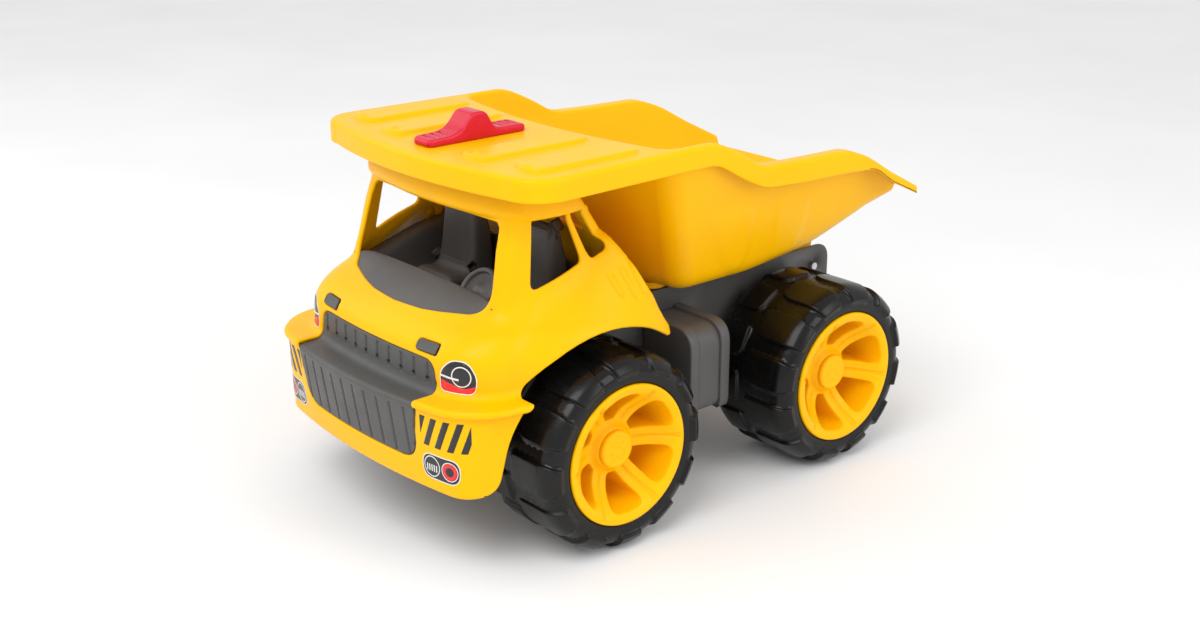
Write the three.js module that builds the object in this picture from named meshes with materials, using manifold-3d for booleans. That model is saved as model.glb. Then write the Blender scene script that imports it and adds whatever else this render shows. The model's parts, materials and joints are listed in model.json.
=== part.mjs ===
// Large moulded toy dump truck: cab, chassis, tipping load bed and four free wheels.
// Millimetres. +Z is up, -Y is the way the truck drives, +X is the truck's left side.
// The origin is on the ground, at the middle of the truck's length and width.
import * as THREE from "three";
import { mergeVertices } from "three/addons/utils/BufferGeometryUtils.js";
import Module from "manifold-3d";

const wasm = await Module();
wasm.setup();

// Shared sizes
const WALL = 3; // thickness of a moulded shell
const GAP = 0.3; // clearance between pieces that touch
const BORE_SLACK = 0.1; // a rod's bore is this much larger in radius
const ROUND = 4; // segments in the quarter of a small rounded corner
const ROD_SIDES = 20;
const SCREW_SIDES = 12;
const SCREW_RADIUS = 2;
const SCREW_HOLE_RADIUS = 2.3;
const FAR = 400; // longer than the truck, for cuts that run right through

// Wheels and axles
const WHEEL_RADIUS = 70;
const FRONT_AXLE_Y = -89;
const REAR_AXLE_Y = 127.5;
const AXLE_Z = WHEEL_RADIUS;
const AXLE_RADIUS = 3;
const AXLE_HALF_LENGTH = 119;
const TYRE_INNER_X = 64;
const TYRE_OUTER_X = 138;
const TREAD_DEPTH = 2.5;
const LUGS = 12;
const RIM_RADIUS = 50;
const RIM_FACE_X = 140;
const HUB_RADIUS = 16;
const HUB_FACE_X = 124;
const SPOKES = 6;

// Chassis
const CHASSIS_HALF = 58;
const CHASSIS_FRONT = -182;
const CHASSIS_REAR = 195;
const CHASSIS_TOP = 144;
const CHASSIS_BOTTOM = 60;
const AXLE_BOSS_RADIUS = 9;
const AXLE_BOSS_HALF = 89.4;

// Bed pivot
const PIVOT_Y = 176;
const PIVOT_Z = 128;
const PIVOT_RADIUS = 3;
const PIVOT_HALF_LENGTH = 61;
const LUG_INNER_X = 40;
const LUG_OUTER_X = 47;
const LUG_RADIUS = 9;

// Cab
const SHELF_Z = 122.5;
const SHELF_THICK = 5.5;
const ARCH_Y = -91;
const ARCH_RADIUS = 86;
const FENDER_TIP_Z = 138;

// Load bed
const BED_HALF = 122;
const CANOPY_HALF = 125;
const CANOPY_TOP = 266;
const CANOPY_LIP = 250;
const CANOPY_FRONT = -170;

const YELLOW = { color: 0xffcc00, roughness: 0.32, metalness: 0 };
const GREY = { color: 0x696969, roughness: 0.5, metalness: 0 };
const RED = { color: 0xe61437, roughness: 0.35, metalness: 0 };
const BLACK = { color: 0x1c1c1c, roughness: 0.35, metalness: 0 };
const STEEL = { color: 0xb8bcc0, roughness: 0.3, metalness: 1 };

// ---------------------------------------------------------------- solids

function solid(geometry) {
  const plain = geometry.index ? geometry.toNonIndexed() : geometry.clone();
  plain.deleteAttribute("normal");
  plain.deleteAttribute("uv");
  const merged = mergeVertices(plain, 1e-3);
  return new wasm.Manifold(
    new wasm.Mesh({
      numProp: 3,
      vertProperties: merged.attributes.position.array,
      triVerts: new Uint32Array(merged.index.array),
    }),
  );
}

function geometryOf(body) {
  const mesh = body.getMesh();
  const geometry = new THREE.BufferGeometry();
  geometry.setAttribute("position", new THREE.BufferAttribute(mesh.vertProperties, 3));
  geometry.setIndex(new THREE.BufferAttribute(mesh.triVerts, 1));
  const facets = geometry.toNonIndexed();
  facets.computeVertexNormals();
  return facets;
}

const unite = (...bodies) => bodies.reduce((all, body) => all.add(body));
const without = (body, ...cuts) => cuts.reduce((left, cut) => left.subtract(cut), body);

function box(x0, x1, y0, y1, z0, z1) {
  const geometry = new THREE.BoxGeometry(x1 - x0, y1 - y0, z1 - z0);
  return solid(geometry.translate((x0 + x1) / 2, (y0 + y1) / 2, (z0 + z1) / 2));
}

// A closed outline from corner points [u, v, radius], each corner rounded by its own radius.
function outline(corners) {
  const shape = new THREE.Shape();
  corners.forEach(([u, v, radius = 0], i) => {
    const before = corners.at(i - 1);
    const after = corners[(i + 1) % corners.length];
    const here = new THREE.Vector2(u, v);
    const towards = (to) =>
      new THREE.Vector2(to[0], to[1]).sub(here).setLength(radius).add(here);
    const start = radius ? towards(before) : here;
    if (i === 0) shape.moveTo(start.x, start.y);
    else shape.lineTo(start.x, start.y);
    if (!radius) return;
    const end = towards(after);
    shape.quadraticCurveTo(u, v, end.x, end.y);
  });
  shape.closePath();
  return shape;
}

function extruded(shape, depth, curveSegments = ROUND) {
  return new THREE.ExtrudeGeometry(shape, { depth, bevelEnabled: false, curveSegments });
}

// An outline in (y, z), extruded from x0 to x1.
function prismX(shape, x0, x1, curveSegments) {
  const turn = new THREE.Matrix4().makeBasis(
    new THREE.Vector3(0, 1, 0),
    new THREE.Vector3(0, 0, 1),
    new THREE.Vector3(1, 0, 0),
  );
  return solid(extruded(shape, x1 - x0, curveSegments).applyMatrix4(turn).translate(x0, 0, 0));
}

// An outline in (x, z), extruded from y0 to y1.
function prismY(shape, y0, y1, curveSegments) {
  const turn = new THREE.Matrix4().makeRotationX(Math.PI / 2);
  return solid(extruded(shape, y1 - y0, curveSegments).applyMatrix4(turn).translate(0, y1, 0));
}

// An outline in (x, y), extruded from z0 to z1.
function prismZ(shape, z0, z1, curveSegments) {
  return solid(extruded(shape, z1 - z0, curveSegments).translate(0, 0, z0));
}

function rodX(radius, x0, x1, y, z, sides = ROD_SIDES) {
  const geometry = new THREE.CylinderGeometry(radius, radius, x1 - x0, sides);
  return solid(geometry.rotateZ(Math.PI / 2).translate((x0 + x1) / 2, y, z));
}

function rodZ(radius, z0, z1, x, y, sides = ROD_SIDES) {
  const geometry = new THREE.CylinderGeometry(radius, radius, z1 - z0, sides);
  return solid(geometry.rotateX(Math.PI / 2).translate(x, y, (z0 + z1) / 2));
}

const screwHole = (z0, z1, x, y) => rodZ(SCREW_HOLE_RADIUS, z0, z1, x, y, SCREW_SIDES);

// A solid of revolution about the X axis from a closed profile of [radius, x] points.
function turnedX(profile, sides) {
  const points = profile.map(([radius, x]) => new THREE.Vector2(radius, x));
  points.push(points[0].clone());
  return new THREE.LatheGeometry(points, sides).rotateZ(-Math.PI / 2);
}

// A skin over plan rings that all have the same number of points, closed at both ends.
function loft(rings) {
  const corners = [];
  const face = (...points) => points.forEach((p) => corners.push(p.x, p.y, p.z));
  const count = rings[0].length;
  for (let r = 0; r + 1 < rings.length; r += 1) {
    for (let i = 0; i < count; i += 1) {
      const j = (i + 1) % count;
      face(rings[r][i], rings[r][j], rings[r + 1][j]);
      face(rings[r][i], rings[r + 1][j], rings[r + 1][i]);
    }
  }
  const bottom = rings[0];
  const top = rings.at(-1);
  const flat = (ring) => ring.map((p) => new THREE.Vector2(p.x, p.y));
  for (const [a, b, c] of THREE.ShapeUtils.triangulateShape(flat(bottom), [])) {
    face(bottom[c], bottom[b], bottom[a]);
  }
  for (const [a, b, c] of THREE.ShapeUtils.triangulateShape(flat(top), [])) {
    face(top[a], top[b], top[c]);
  }
  const geometry = new THREE.BufferGeometry();
  geometry.setAttribute("position", new THREE.Float32BufferAttribute(corners, 3));
  return solid(geometry);
}

const BOW_STEPS = 3;
const CORNER_STEPS = 4;

// One plan ring, mirrored about x = 0: a bowed front, a rounded front corner and a straight side.
// `front` is the y at the middle, `bow` how far the corner lies behind it, `half` the half width
// at the front and `halfRear` at the rear, `corner` the corner's width and `depth` its length.
function planRing(z, { front, bow, half, halfRear = half, corner, depth = corner, rear }) {
  const side = [];
  const bend = half - corner;
  for (let i = 0; i <= BOW_STEPS; i += 1) {
    const t = i / BOW_STEPS;
    side.push([bend * t, front + bow * t * t]);
  }
  for (let i = 1; i <= CORNER_STEPS; i += 1) {
    const angle = ((Math.PI / 2) * i) / CORNER_STEPS;
    side.push([bend + corner * Math.sin(angle), front + bow + depth * (1 - Math.cos(angle))]);
  }
  side.push([halfRear, rear]);
  const left = side.slice(1).reverse();
  const all = side.concat(left.map(([x, y]) => [-x, y]));
  return all.map(([x, y]) => new THREE.Vector3(x, y, z));
}

// The same ring moved inwards by `inset`.
function insetRing(z, ring, inset) {
  const { front, bow, half, halfRear = half, corner, depth = corner, rear } = ring;
  return planRing(z, {
    front: front + inset,
    bow,
    half: half - inset,
    halfRear: halfRear - inset,
    corner: corner - inset,
    depth: depth - inset,
    rear: rear - inset,
  });
}

const outerLoft = (levels) => loft(levels.map(([z, ring]) => planRing(z, ring)));

// The hollow inside a loft: open below, and `inset` under its top.
function innerLoft(levels, inset, openBelow) {
  const last = levels.length - 1;
  const rings = levels.map(([z, ring], i) => insetRing(i === last ? z - inset : z, ring, inset));
  const [z, ring] = levels[0];
  return loft([insetRing(z - openBelow, ring, inset), ...rings.slice(openBelow > 0 ? 0 : 1)]);
}

// ---------------------------------------------------------------- cab

// Nose, bonnet and fenders
const BODY_LEVELS = [
  [112, { front: -200, bow: 5, half: 110, halfRear: 120, corner: 40, rear: -27 }],
  [142, { front: -199, bow: 4, half: 109, halfRear: 120, corner: 40, rear: -31 }],
  [150, { front: -197, bow: 5, half: 108, halfRear: 120, corner: 40, rear: -36 }],
  [158, { front: -189.5, bow: 6, half: 106, halfRear: 118.5, corner: 38, rear: -40 }],
  [166, { front: -177, bow: 8, half: 102, halfRear: 117, corner: 34, rear: -43 }],
  [176, { front: -163, bow: 9, half: 97, halfRear: 114, corner: 30, rear: -48 }],
  [188, { front: -146, bow: 9, half: 91, halfRear: 110, corner: 26, rear: -54 }],
  [200, { front: -130, bow: 8, half: 86, halfRear: 104, corner: 22, rear: -61 }],
  [210, { front: -116, bow: 6, half: 81, halfRear: 96, corner: 18, rear: -67 }],
  [214, { front: -110, bow: 6, half: 77, halfRear: 89, corner: 16, rear: -69 }],
];

// Window pillars, from the bonnet to the roof
const GREENHOUSE_LEVELS = [
  [150, { front: -186, bow: 14, half: 92, corner: 12, rear: -36 }],
  [166, { front: -176, bow: 14, half: 91.5, corner: 12, rear: -43 }],
  [178, { front: -170, bow: 12.5, half: 90.5, corner: 12, rear: -49 }],
  [228, { front: -146, bow: 3, half: 86.5, corner: 12, rear: -78 }],
  [240, { front: -141, bow: 3, half: 85.5, corner: 12, rear: -86 }],
];

// Roof with the brim over the windscreen
const ROOF_LEVELS = [
  [229, { front: -152, bow: 9, half: 89, halfRear: 87, corner: 16, rear: -79 }],
  [234, { front: -155, bow: 9, half: 90, halfRear: 88, corner: 16, rear: -82 }],
  [246, { front: -153, bow: 9, half: 89, halfRear: 88, corner: 16, rear: -89 }],
  [252, { front: -146, bow: 8, half: 83, halfRear: 83, corner: 14, rear: -88 }],
];

// Bumper skirt below the shelf
const SKIRT_LEVELS = [
  [60, { front: -213, bow: 8, half: 111.5, corner: 16, rear: -120 }],
  [SHELF_Z - SHELF_THICK, { front: -219.5, bow: 8.5, half: 118, corner: 36, rear: -120 }],
];

const SHELF = { front: -221.5, bow: 13.5, half: 126, corner: 34, depth: 40, rear: -120 };

const OPEN_BELOW = 30;

const bodyOuter = outerLoft(BODY_LEVELS);
const skirtOuter = outerLoft(SKIRT_LEVELS);
const shelfOuter = outerLoft([
  [SHELF_Z - SHELF_THICK, SHELF],
  [SHELF_Z, SHELF],
]);

function cabHollow(inset) {
  return unite(
    innerLoft(BODY_LEVELS, inset, OPEN_BELOW),
    innerLoft(GREENHOUSE_LEVELS, inset, OPEN_BELOW),
    loft([
      ...ROOF_LEVELS.map(([z, ring], i) =>
        insetRing(i === 0 ? z + inset : Math.min(z, ROOF_LEVELS.at(-1)[0] - inset), ring, inset),
      ),
    ]),
    innerLoft(SKIRT_LEVELS, inset, OPEN_BELOW),
  );
}

// Where each line of the front reaches at a given half-width, for the grooves of the grille
const bowedFront = ({ front, bow, half, corner }, x) => front + bow * (x / (half - corner)) ** 2;

// The grille is one grey insert: upper face, ledge and lower face.
const GRILLE_TOP_HALF = 69;
const GRILLE_BOTTOM_HALF = 66;
const GRILLE_TOP = 143;
const GRILLE_BOTTOM = 78;
const LEDGE_HALF = 71.5;

function grilleOutline(grow) {
  const half = [
    [LEDGE_HALF + grow, SHELF_Z - SHELF_THICK - 1],
    [LEDGE_HALF + grow, SHELF_Z + grow],
    [GRILLE_TOP_HALF + grow, SHELF_Z + 1 + grow],
    [GRILLE_TOP_HALF + grow, GRILLE_TOP + grow, 12],
  ];
  const lower = [-GRILLE_BOTTOM_HALF - grow, GRILLE_BOTTOM - grow, 14];
  const mirrored = half.map(([x, z, r]) => [-x, z, r]).reverse();
  return outline([...half, ...mirrored, lower, [-lower[0], lower[1], lower[2]]]);
}

const GRILLE_Y = [-230, -185];
const GROOVES = 10;
const GROOVE_PITCH = 13.6;
const GROOVE_WIDTH = 1.6;
const GROOVE_DEPTH = 1.5;

// A thin vertical slot that follows a front surface from [z, y] low to [z, y] high.
function groove(x, low, high) {
  const line = [low, high].map(([z, y]) => [y, z]);
  const path = [
    ...line.map(([y, z]) => [y - 2, z]),
    ...line.map(([y, z]) => [y + GROOVE_DEPTH, z]).reverse(),
  ];
  return prismX(outline(path), x - GROOVE_WIDTH / 2, x + GROOVE_WIDTH / 2);
}

function grilleGrooves() {
  const [, nose] = BODY_LEVELS[0];
  const [, noseTop] = BODY_LEVELS[1];
  const [[lowZ, low], [highZ, high]] = SKIRT_LEVELS;
  const cuts = [];
  for (let i = 0; i < GROOVES; i += 1) {
    const x = (i - (GROOVES - 1) / 2) * GROOVE_PITCH;
    const upperTop = GRILLE_TOP - 3;
    cuts.push(
      groove(x, [SHELF_Z + 2, bowedFront(nose, x)], [upperTop, bowedFront(noseTop, x)]),
    );
    const share = (GRILLE_BOTTOM + 3 - lowZ) / (highZ - lowZ);
    const lowY = THREE.MathUtils.lerp(bowedFront(low, x), bowedFront(high, x), share);
    cuts.push(groove(x, [GRILLE_BOTTOM + 3, lowY], [highZ - 2, bowedFront(high, x)]));
  }
  return cuts;
}

function grille() {
  const wall = without(
    unite(bodyOuter, skirtOuter, shelfOuter),
    innerLoft(BODY_LEVELS, WALL, OPEN_BELOW),
    innerLoft(SKIRT_LEVELS, WALL, OPEN_BELOW),
  );
  const insert = wall.intersect(prismY(grilleOutline(0), ...GRILLE_Y));
  return without(insert, ...grilleGrooves());
}

// Marker lamps let into the nose above the grille
const LAMP = { x: 57.5, z: 150, half: 8.5, height: 3.2, corner: 2 };

function lampOutline(side, grow) {
  const { x, z, half, height, corner } = LAMP;
  const w = half + grow;
  const h = height + grow;
  return outline([
    [side * x - w, z - h, corner],
    [side * x + w, z - h, corner],
    [side * x + w, z + h, corner],
    [side * x - w, z + h, corner],
  ]);
}

function markerLamp(side) {
  const wall = without(bodyOuter, innerLoft(BODY_LEVELS, WALL, OPEN_BELOW));
  return wall.intersect(prismY(lampOutline(side, 0), ...GRILLE_Y));
}

function windscreenCut() {
  const shape = new THREE.Shape();
  shape.moveTo(-73.4, 227.5);
  shape.lineTo(73.4, 227.5);
  shape.lineTo(78.5, 187);
  shape.quadraticCurveTo(80, 172, 60, 168.5);
  shape.quadraticCurveTo(30, 165, 0, 165);
  shape.quadraticCurveTo(-30, 165, -60, 168.5);
  shape.quadraticCurveTo(-80, 172, -78.5, 187);
  return prismY(shape, -240, -120, 6);
}

const SIDE_WINDOW = [
  [-135, 183.5, 5],
  [-93.3, 197, 4],
  [-102.5, 236.5, 4],
  [-127, 236.5, 6],
];
const QUARTER_WINDOW = [
  [-86.3, 197.5, 2],
  [-72, 203, 5],
  [-89, 236.5, 4],
  [-98.3, 236.5, 2],
];
const REAR_WINDOW = [
  [-68, 207, 5],
  [68, 207, 5],
  [68, 235, 5],
  [-68, 235, 5],
];

// The slot in the roof that the bed's latch hook drops into
const ROOF_SLOT = { half: 9, front: -124, rear: -95 };

const MOUNT_SCREWS = { front: -176, rear: -52, x: 40 };
const TAB_Z = CHASSIS_TOP + GAP;
const TAB_HALF = 46;

function cabShell() {
  const outer = unite(
    bodyOuter,
    outerLoft(GREENHOUSE_LEVELS),
    outerLoft(ROOF_LEVELS),
    skirtOuter,
    shelfOuter,
  );
  const shell = without(
    outer,
    cabHollow(WALL),
    rodX(ARCH_RADIUS, -FAR, FAR, ARCH_Y, AXLE_Z, 48),
    box(-FAR, FAR, ARCH_Y + 40, 0, 0, FENDER_TIP_Z),
    box(-CHASSIS_HALF - 1, CHASSIS_HALF + 1, ARCH_Y, 0, 0, CHASSIS_TOP + GAP),
    windscreenCut(),
    prismX(outline(SIDE_WINDOW), -FAR, FAR),
    prismX(outline(QUARTER_WINDOW), -FAR, FAR),
    prismY(outline(REAR_WINDOW), -100, 0),
    prismY(grilleOutline(GAP), ...GRILLE_Y),
    prismY(lampOutline(-1, GAP), ...GRILLE_Y),
    prismY(lampOutline(1, GAP), ...GRILLE_Y),
    box(-ROOF_SLOT.half, ROOF_SLOT.half, ROOF_SLOT.front, ROOF_SLOT.rear, 240, 260),
  );
  // Tabs inside the nose and the rear wall, which rest on the chassis and take its screws
  const tabs = unite(
    box(-TAB_HALF, TAB_HALF, -193.5, CHASSIS_FRONT + 14, TAB_Z, TAB_Z + WALL),
    box(-TAB_HALF, TAB_HALF, -62, -36, TAB_Z, TAB_Z + WALL),
  );
  const screws = [MOUNT_SCREWS.front, MOUNT_SCREWS.rear].flatMap((y) =>
    [-1, 1].map((side) =>
      screwHole(TAB_Z - 1, TAB_Z + WALL + 1, side * MOUNT_SCREWS.x, y),
    ),
  );
  return without(unite(shell, tabs), ...screws);
}

// ---------------------------------------------------------------- cab interior

const DASH_REAR = -150;
const DASH_TOP = 178;
const DASH_BOTTOM = 152;
const DASH_HALF = 95;

function dashPanel() {
  const top = [
    [-184, 158],
    [-176, 164],
    [-164, 171.5],
    [DASH_REAR, DASH_TOP, 1.5],
  ];
  const [foot] = top;
  const rear = [DASH_REAR, DASH_BOTTOM];
  const outer = outline([[foot[0], DASH_BOTTOM], ...top, rear].reverse());
  const underTop = top.map(([y, z]) => [y - 2, z - WALL]);
  const low = DASH_BOTTOM - 12;
  const under = outline([[foot[0] - 6, low], ...underTop, [DASH_REAR - WALL, low]].reverse());
  return without(
    prismX(outer, -DASH_HALF, DASH_HALF).intersect(cabHollow(WALL + GAP)),
    prismX(under, -FAR, FAR),
  );
}

const WHEEL_CENTRE = { x: 38, y: -135.5, z: 170 };
const STEERING_RADIUS = 17;
const STEERING_TILT = THREE.MathUtils.degToRad(40);

// A dished disc on a short column, moulded as one
function steeringWheel() {
  const profile = [
    [0, -17],
    [3.5, -17],
    [3.5, 0],
    [STEERING_RADIUS - 1.5, 0],
    [STEERING_RADIUS, 1.5],
    [STEERING_RADIUS - 1, 4],
    [STEERING_RADIUS - 4, 4],
    [STEERING_RADIUS - 6, 2.5],
    [0, 2.5],
  ];
  const points = profile.map(([radius, height]) => new THREE.Vector2(radius, height));
  const disc = new THREE.LatheGeometry(points, 16);
  disc.rotateX(Math.PI / 2 - STEERING_TILT);
  const { x, y, z } = WHEEL_CENTRE;
  return solid(disc.translate(x, y, z));
}

const TUB = {
  half: 83,
  front: -124,
  rear: -70,
  bottom: CHASSIS_TOP + GAP,
  top: 178,
  frontTop: 155,
  corner: 6,
  pillar: 12,
};

function interiorTub() {
  const { half, front, rear, bottom, top, frontTop, corner, pillar } = TUB;
  const plan = (inset) =>
    outline([
      [-half + inset, front + inset, corner],
      [half - inset, front + inset, corner],
      [half - inset, rear - inset, corner],
      [-half + inset, rear - inset, corner],
    ]);
  return without(
    prismZ(plan(0), bottom, top),
    prismZ(plan(WALL), bottom + WALL, top + 1),
    box(-half + pillar, half - pillar, front - 1, front + pillar, frontTop, top + 1),
  );
}

const SEAT = { inner: 20, outer: 66, z: TUB.bottom + WALL + GAP };

function seat(side) {
  const profile = outline([
    [-119.5, SEAT.z, 2],
    [-119.5, SEAT.z + 13, 4],
    [-98, SEAT.z + 11, 3],
    [-94, 205, 2],
    [-90, 212, 2],
    [-84, 209, 3],
    [-78, 186, 3],
    [-76, SEAT.z, 1],
  ].reverse());
  const x0 = side > 0 ? SEAT.inner : -SEAT.outer;
  return prismX(profile, x0, x0 + SEAT.outer - SEAT.inner, 3);
}

// ---------------------------------------------------------------- chassis

function chassisOutline(inset, dropBottom) {
  const bottom = CHASSIS_BOTTOM - dropBottom;
  return outline([
    [CHASSIS_FRONT + inset, bottom],
    [CHASSIS_REAR - 24 - inset, bottom],
    [CHASSIS_REAR - inset, CHASSIS_BOTTOM + 42],
    [CHASSIS_REAR - inset, CHASSIS_TOP - inset, 14 - inset],
    [CHASSIS_FRONT + 20 + inset, CHASSIS_TOP - inset],
    [CHASSIS_FRONT + inset, CHASSIS_TOP - 26],
  ]);
}

const TANK = {
  front: -5,
  rear: 34,
  outer: 108,
  bottom: 64,
  top: 127,
  corner: 17,
  band: 9,
  proud: 2,
};
const TANK_SCREW_Y = (TANK.front + TANK.rear) / 2;
const TANK_SCREW_Z = 100;

function chassisFrame() {
  const outer = prismX(chassisOutline(0, 0), -CHASSIS_HALF, CHASSIS_HALF);
  const hollow = prismX(
    chassisOutline(WALL, 20),
    -CHASSIS_HALF + WALL,
    CHASSIS_HALF - WALL,
  );
  const bosses = [FRONT_AXLE_Y, REAR_AXLE_Y].map((y) =>
    rodX(AXLE_BOSS_RADIUS, -AXLE_BOSS_HALF, AXLE_BOSS_HALF, y, AXLE_Z),
  );
  const bores = [FRONT_AXLE_Y, REAR_AXLE_Y].map((y) =>
    rodX(AXLE_RADIUS + BORE_SLACK, -FAR, FAR, y, AXLE_Z),
  );
  const screwHoles = [MOUNT_SCREWS.front, MOUNT_SCREWS.rear].flatMap((y) =>
    [-1, 1].map((side) =>
      screwHole(CHASSIS_TOP - 5, CHASSIS_TOP + 1, side * MOUNT_SCREWS.x, y),
    ),
  );
  // The rear is open between its two side plates, for the bed's pivot lugs
  const pivotBay = box(
    -CHASSIS_HALF + WALL,
    CHASSIS_HALF - WALL,
    PIVOT_Y - 30,
    CHASSIS_REAR + 1,
    CHASSIS_BOTTOM + 42,
    CHASSIS_TOP + 1,
  );
  return without(
    unite(without(outer, hollow), ...bosses),
    ...bores,
    ...screwHoles,
    pivotBay,
    rodX(PIVOT_RADIUS + BORE_SLACK, -FAR, FAR, PIVOT_Y, PIVOT_Z),
    rodX(SCREW_HOLE_RADIUS, -FAR, FAR, TANK_SCREW_Y, TANK_SCREW_Z, SCREW_SIDES),
  );
}

function tankOutline(inset) {
  const { outer, bottom, top, corner } = TANK;
  const inner = CHASSIS_HALF + GAP;
  return outline([
    [inner + Math.max(inset, 0), bottom - (inset > 0 ? 20 : 0)],
    [outer - inset, bottom - (inset > 0 ? 20 : 0)],
    [outer - inset, top - inset, corner],
    [inner + Math.max(inset, 0), top - inset],
  ]);
}

function sideTank(side) {
  const { front, rear, band, proud } = TANK;
  const core = prismY(tankOutline(0), front, rear, 6);
  const frontBand = prismY(tankOutline(-proud), front, front + band, 6);
  const rearBand = prismY(tankOutline(-proud), rear - band, rear, 6);
  const hollow = prismY(tankOutline(WALL), front + WALL, rear - WALL, 6);
  const tank = without(
    unite(core, frontBand, rearBand),
    hollow,
    rodX(SCREW_HOLE_RADIUS, 0, CHASSIS_HALF + WALL + 2, TANK_SCREW_Y, TANK_SCREW_Z, SCREW_SIDES),
  );
  return side > 0 ? tank : tank.mirror([1, 0, 0]);
}

// A pan-head screw along its own Z, head at the bottom
const SCREW_HEAD_RADIUS = 4;
const SCREW_HEAD = 2.4;
const SHORT_SCREW = 6;
const LONG_SCREW = 8;

function screw(length) {
  const points = [
    [0, -SCREW_HEAD],
    [SCREW_HEAD_RADIUS - 1, -SCREW_HEAD],
    [SCREW_HEAD_RADIUS, -1],
    [SCREW_HEAD_RADIUS, 0],
    [SCREW_RADIUS, 0],
    [SCREW_RADIUS, length],
    [0, length],
  ].map(([radius, height]) => new THREE.Vector2(radius, height));
  return new THREE.LatheGeometry(points, SCREW_SIDES).rotateX(Math.PI / 2);
}

// ---------------------------------------------------------------- load bed

const TUB_REAR = 260;
const BED_LEVELS = [
  [140, { front: 2, bow: 8, half: 78, corner: 16, rear: TUB_REAR }],
  [147, { front: -1, bow: 8, half: 82, corner: 16, rear: TUB_REAR }],
  [157, { front: -6, bow: 8, half: 87, corner: 18, rear: TUB_REAR }],
  [206, { front: -27, bow: 9, half: 103, corner: 18, rear: TUB_REAR }],
  [242, { front: -42, bow: 10, half: 113, corner: 18, rear: TUB_REAR }],
  [290, { front: -62, bow: 12, half: 122, corner: 18, rear: TUB_REAR }],
];

// The rim's height along the truck, [y, z]: high at the canopy, then a step down and a fall
// to the tail
const RIM_LINE = [
  [-60, 266],
  [2, 266],
  [12, 263],
  [32, 253],
  [46, 244],
  [56, 241.5],
  [92, 240],
  [141, 239],
  [163, 231],
  [190, 215],
  [221.5, 198.5],
];
const FLANGE_LINE = [
  [-60, 250],
  [6, 250],
  [32, 235],
  [53, 225.5],
  [92, 223],
  [139, 222],
  [171, 220],
  [190, 207],
  [221.5, 192.5],
];
const FLOOR_LINE = [
  [-60, 147],
  [82, 147],
  [134, 154],
  [150, 158],
  [188, 173],
  [221.5, 188.5],
];

const raised = (line, rise) => line.map(([y, z]) => [y, z + rise]);

// The region between two [y, z] lines that run the same way
const between = (low, high) => outline([...low, ...[...high].reverse()]);

function canopy() {
  const plan = {
    front: CANOPY_FRONT,
    bow: 12,
    half: CANOPY_HALF,
    halfRear: BED_HALF,
    corner: 26,
    rear: -30,
  };
  const outer = outerLoft([
    [CANOPY_LIP, plan],
    [CANOPY_TOP - 3, plan],
    [
      CANOPY_TOP,
      { ...plan, front: plan.front + 3, half: plan.half - 3, halfRear: BED_HALF - 1, corner: 23 },
    ],
  ]);
  const hollowPlan = { ...plan, rear: 0 };
  const hollow = loft([
    insetRing(CANOPY_LIP - 10, hollowPlan, WALL),
    insetRing(CANOPY_TOP - WALL, hollowPlan, WALL),
  ]);
  return without(outer, hollow);
}

const RIB = { half: 14, rise: 2.5 };
const RIBS = [
  { x: 95, front: -141, rear: -50 },
  { x: 48, front: -149, rear: -54 },
];

function canopyRib(x, front, rear) {
  const { half, rise } = RIB;
  const plan = outline([
    [x - half, front, 12],
    [x + half, front, 12],
    [x + half, rear, 12],
    [x - half, rear, 12],
  ]);
  return prismZ(plan, CANOPY_TOP - 1, CANOPY_TOP + rise);
}

const LATCH = { y: -111, half: 4, neckFront: -114.5, neckRear: -107.5, travel: 10 };
const LATCH_SLOT = {
  front: LATCH.neckFront - LATCH.travel - 1,
  rear: LATCH.neckRear + 1,
};

const FOOT = { x: 46, y: 14, radius: 11, top: 158 };

function pivotLug(side) {
  const { x0, x1 } =
    side > 0 ? { x0: LUG_INNER_X, x1: LUG_OUTER_X } : { x0: -LUG_OUTER_X, x1: -LUG_INNER_X };
  const web = prismX(
    outline([
      [PIVOT_Y - LUG_RADIUS, PIVOT_Z],
      [PIVOT_Y + LUG_RADIUS, PIVOT_Z],
      [PIVOT_Y + 16, 176.5],
      [PIVOT_Y - 20, 162.5],
    ]),
    x0,
    x1,
  );
  return unite(web, rodX(LUG_RADIUS, x0, x1, PIVOT_Y, PIVOT_Z));
}

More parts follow.
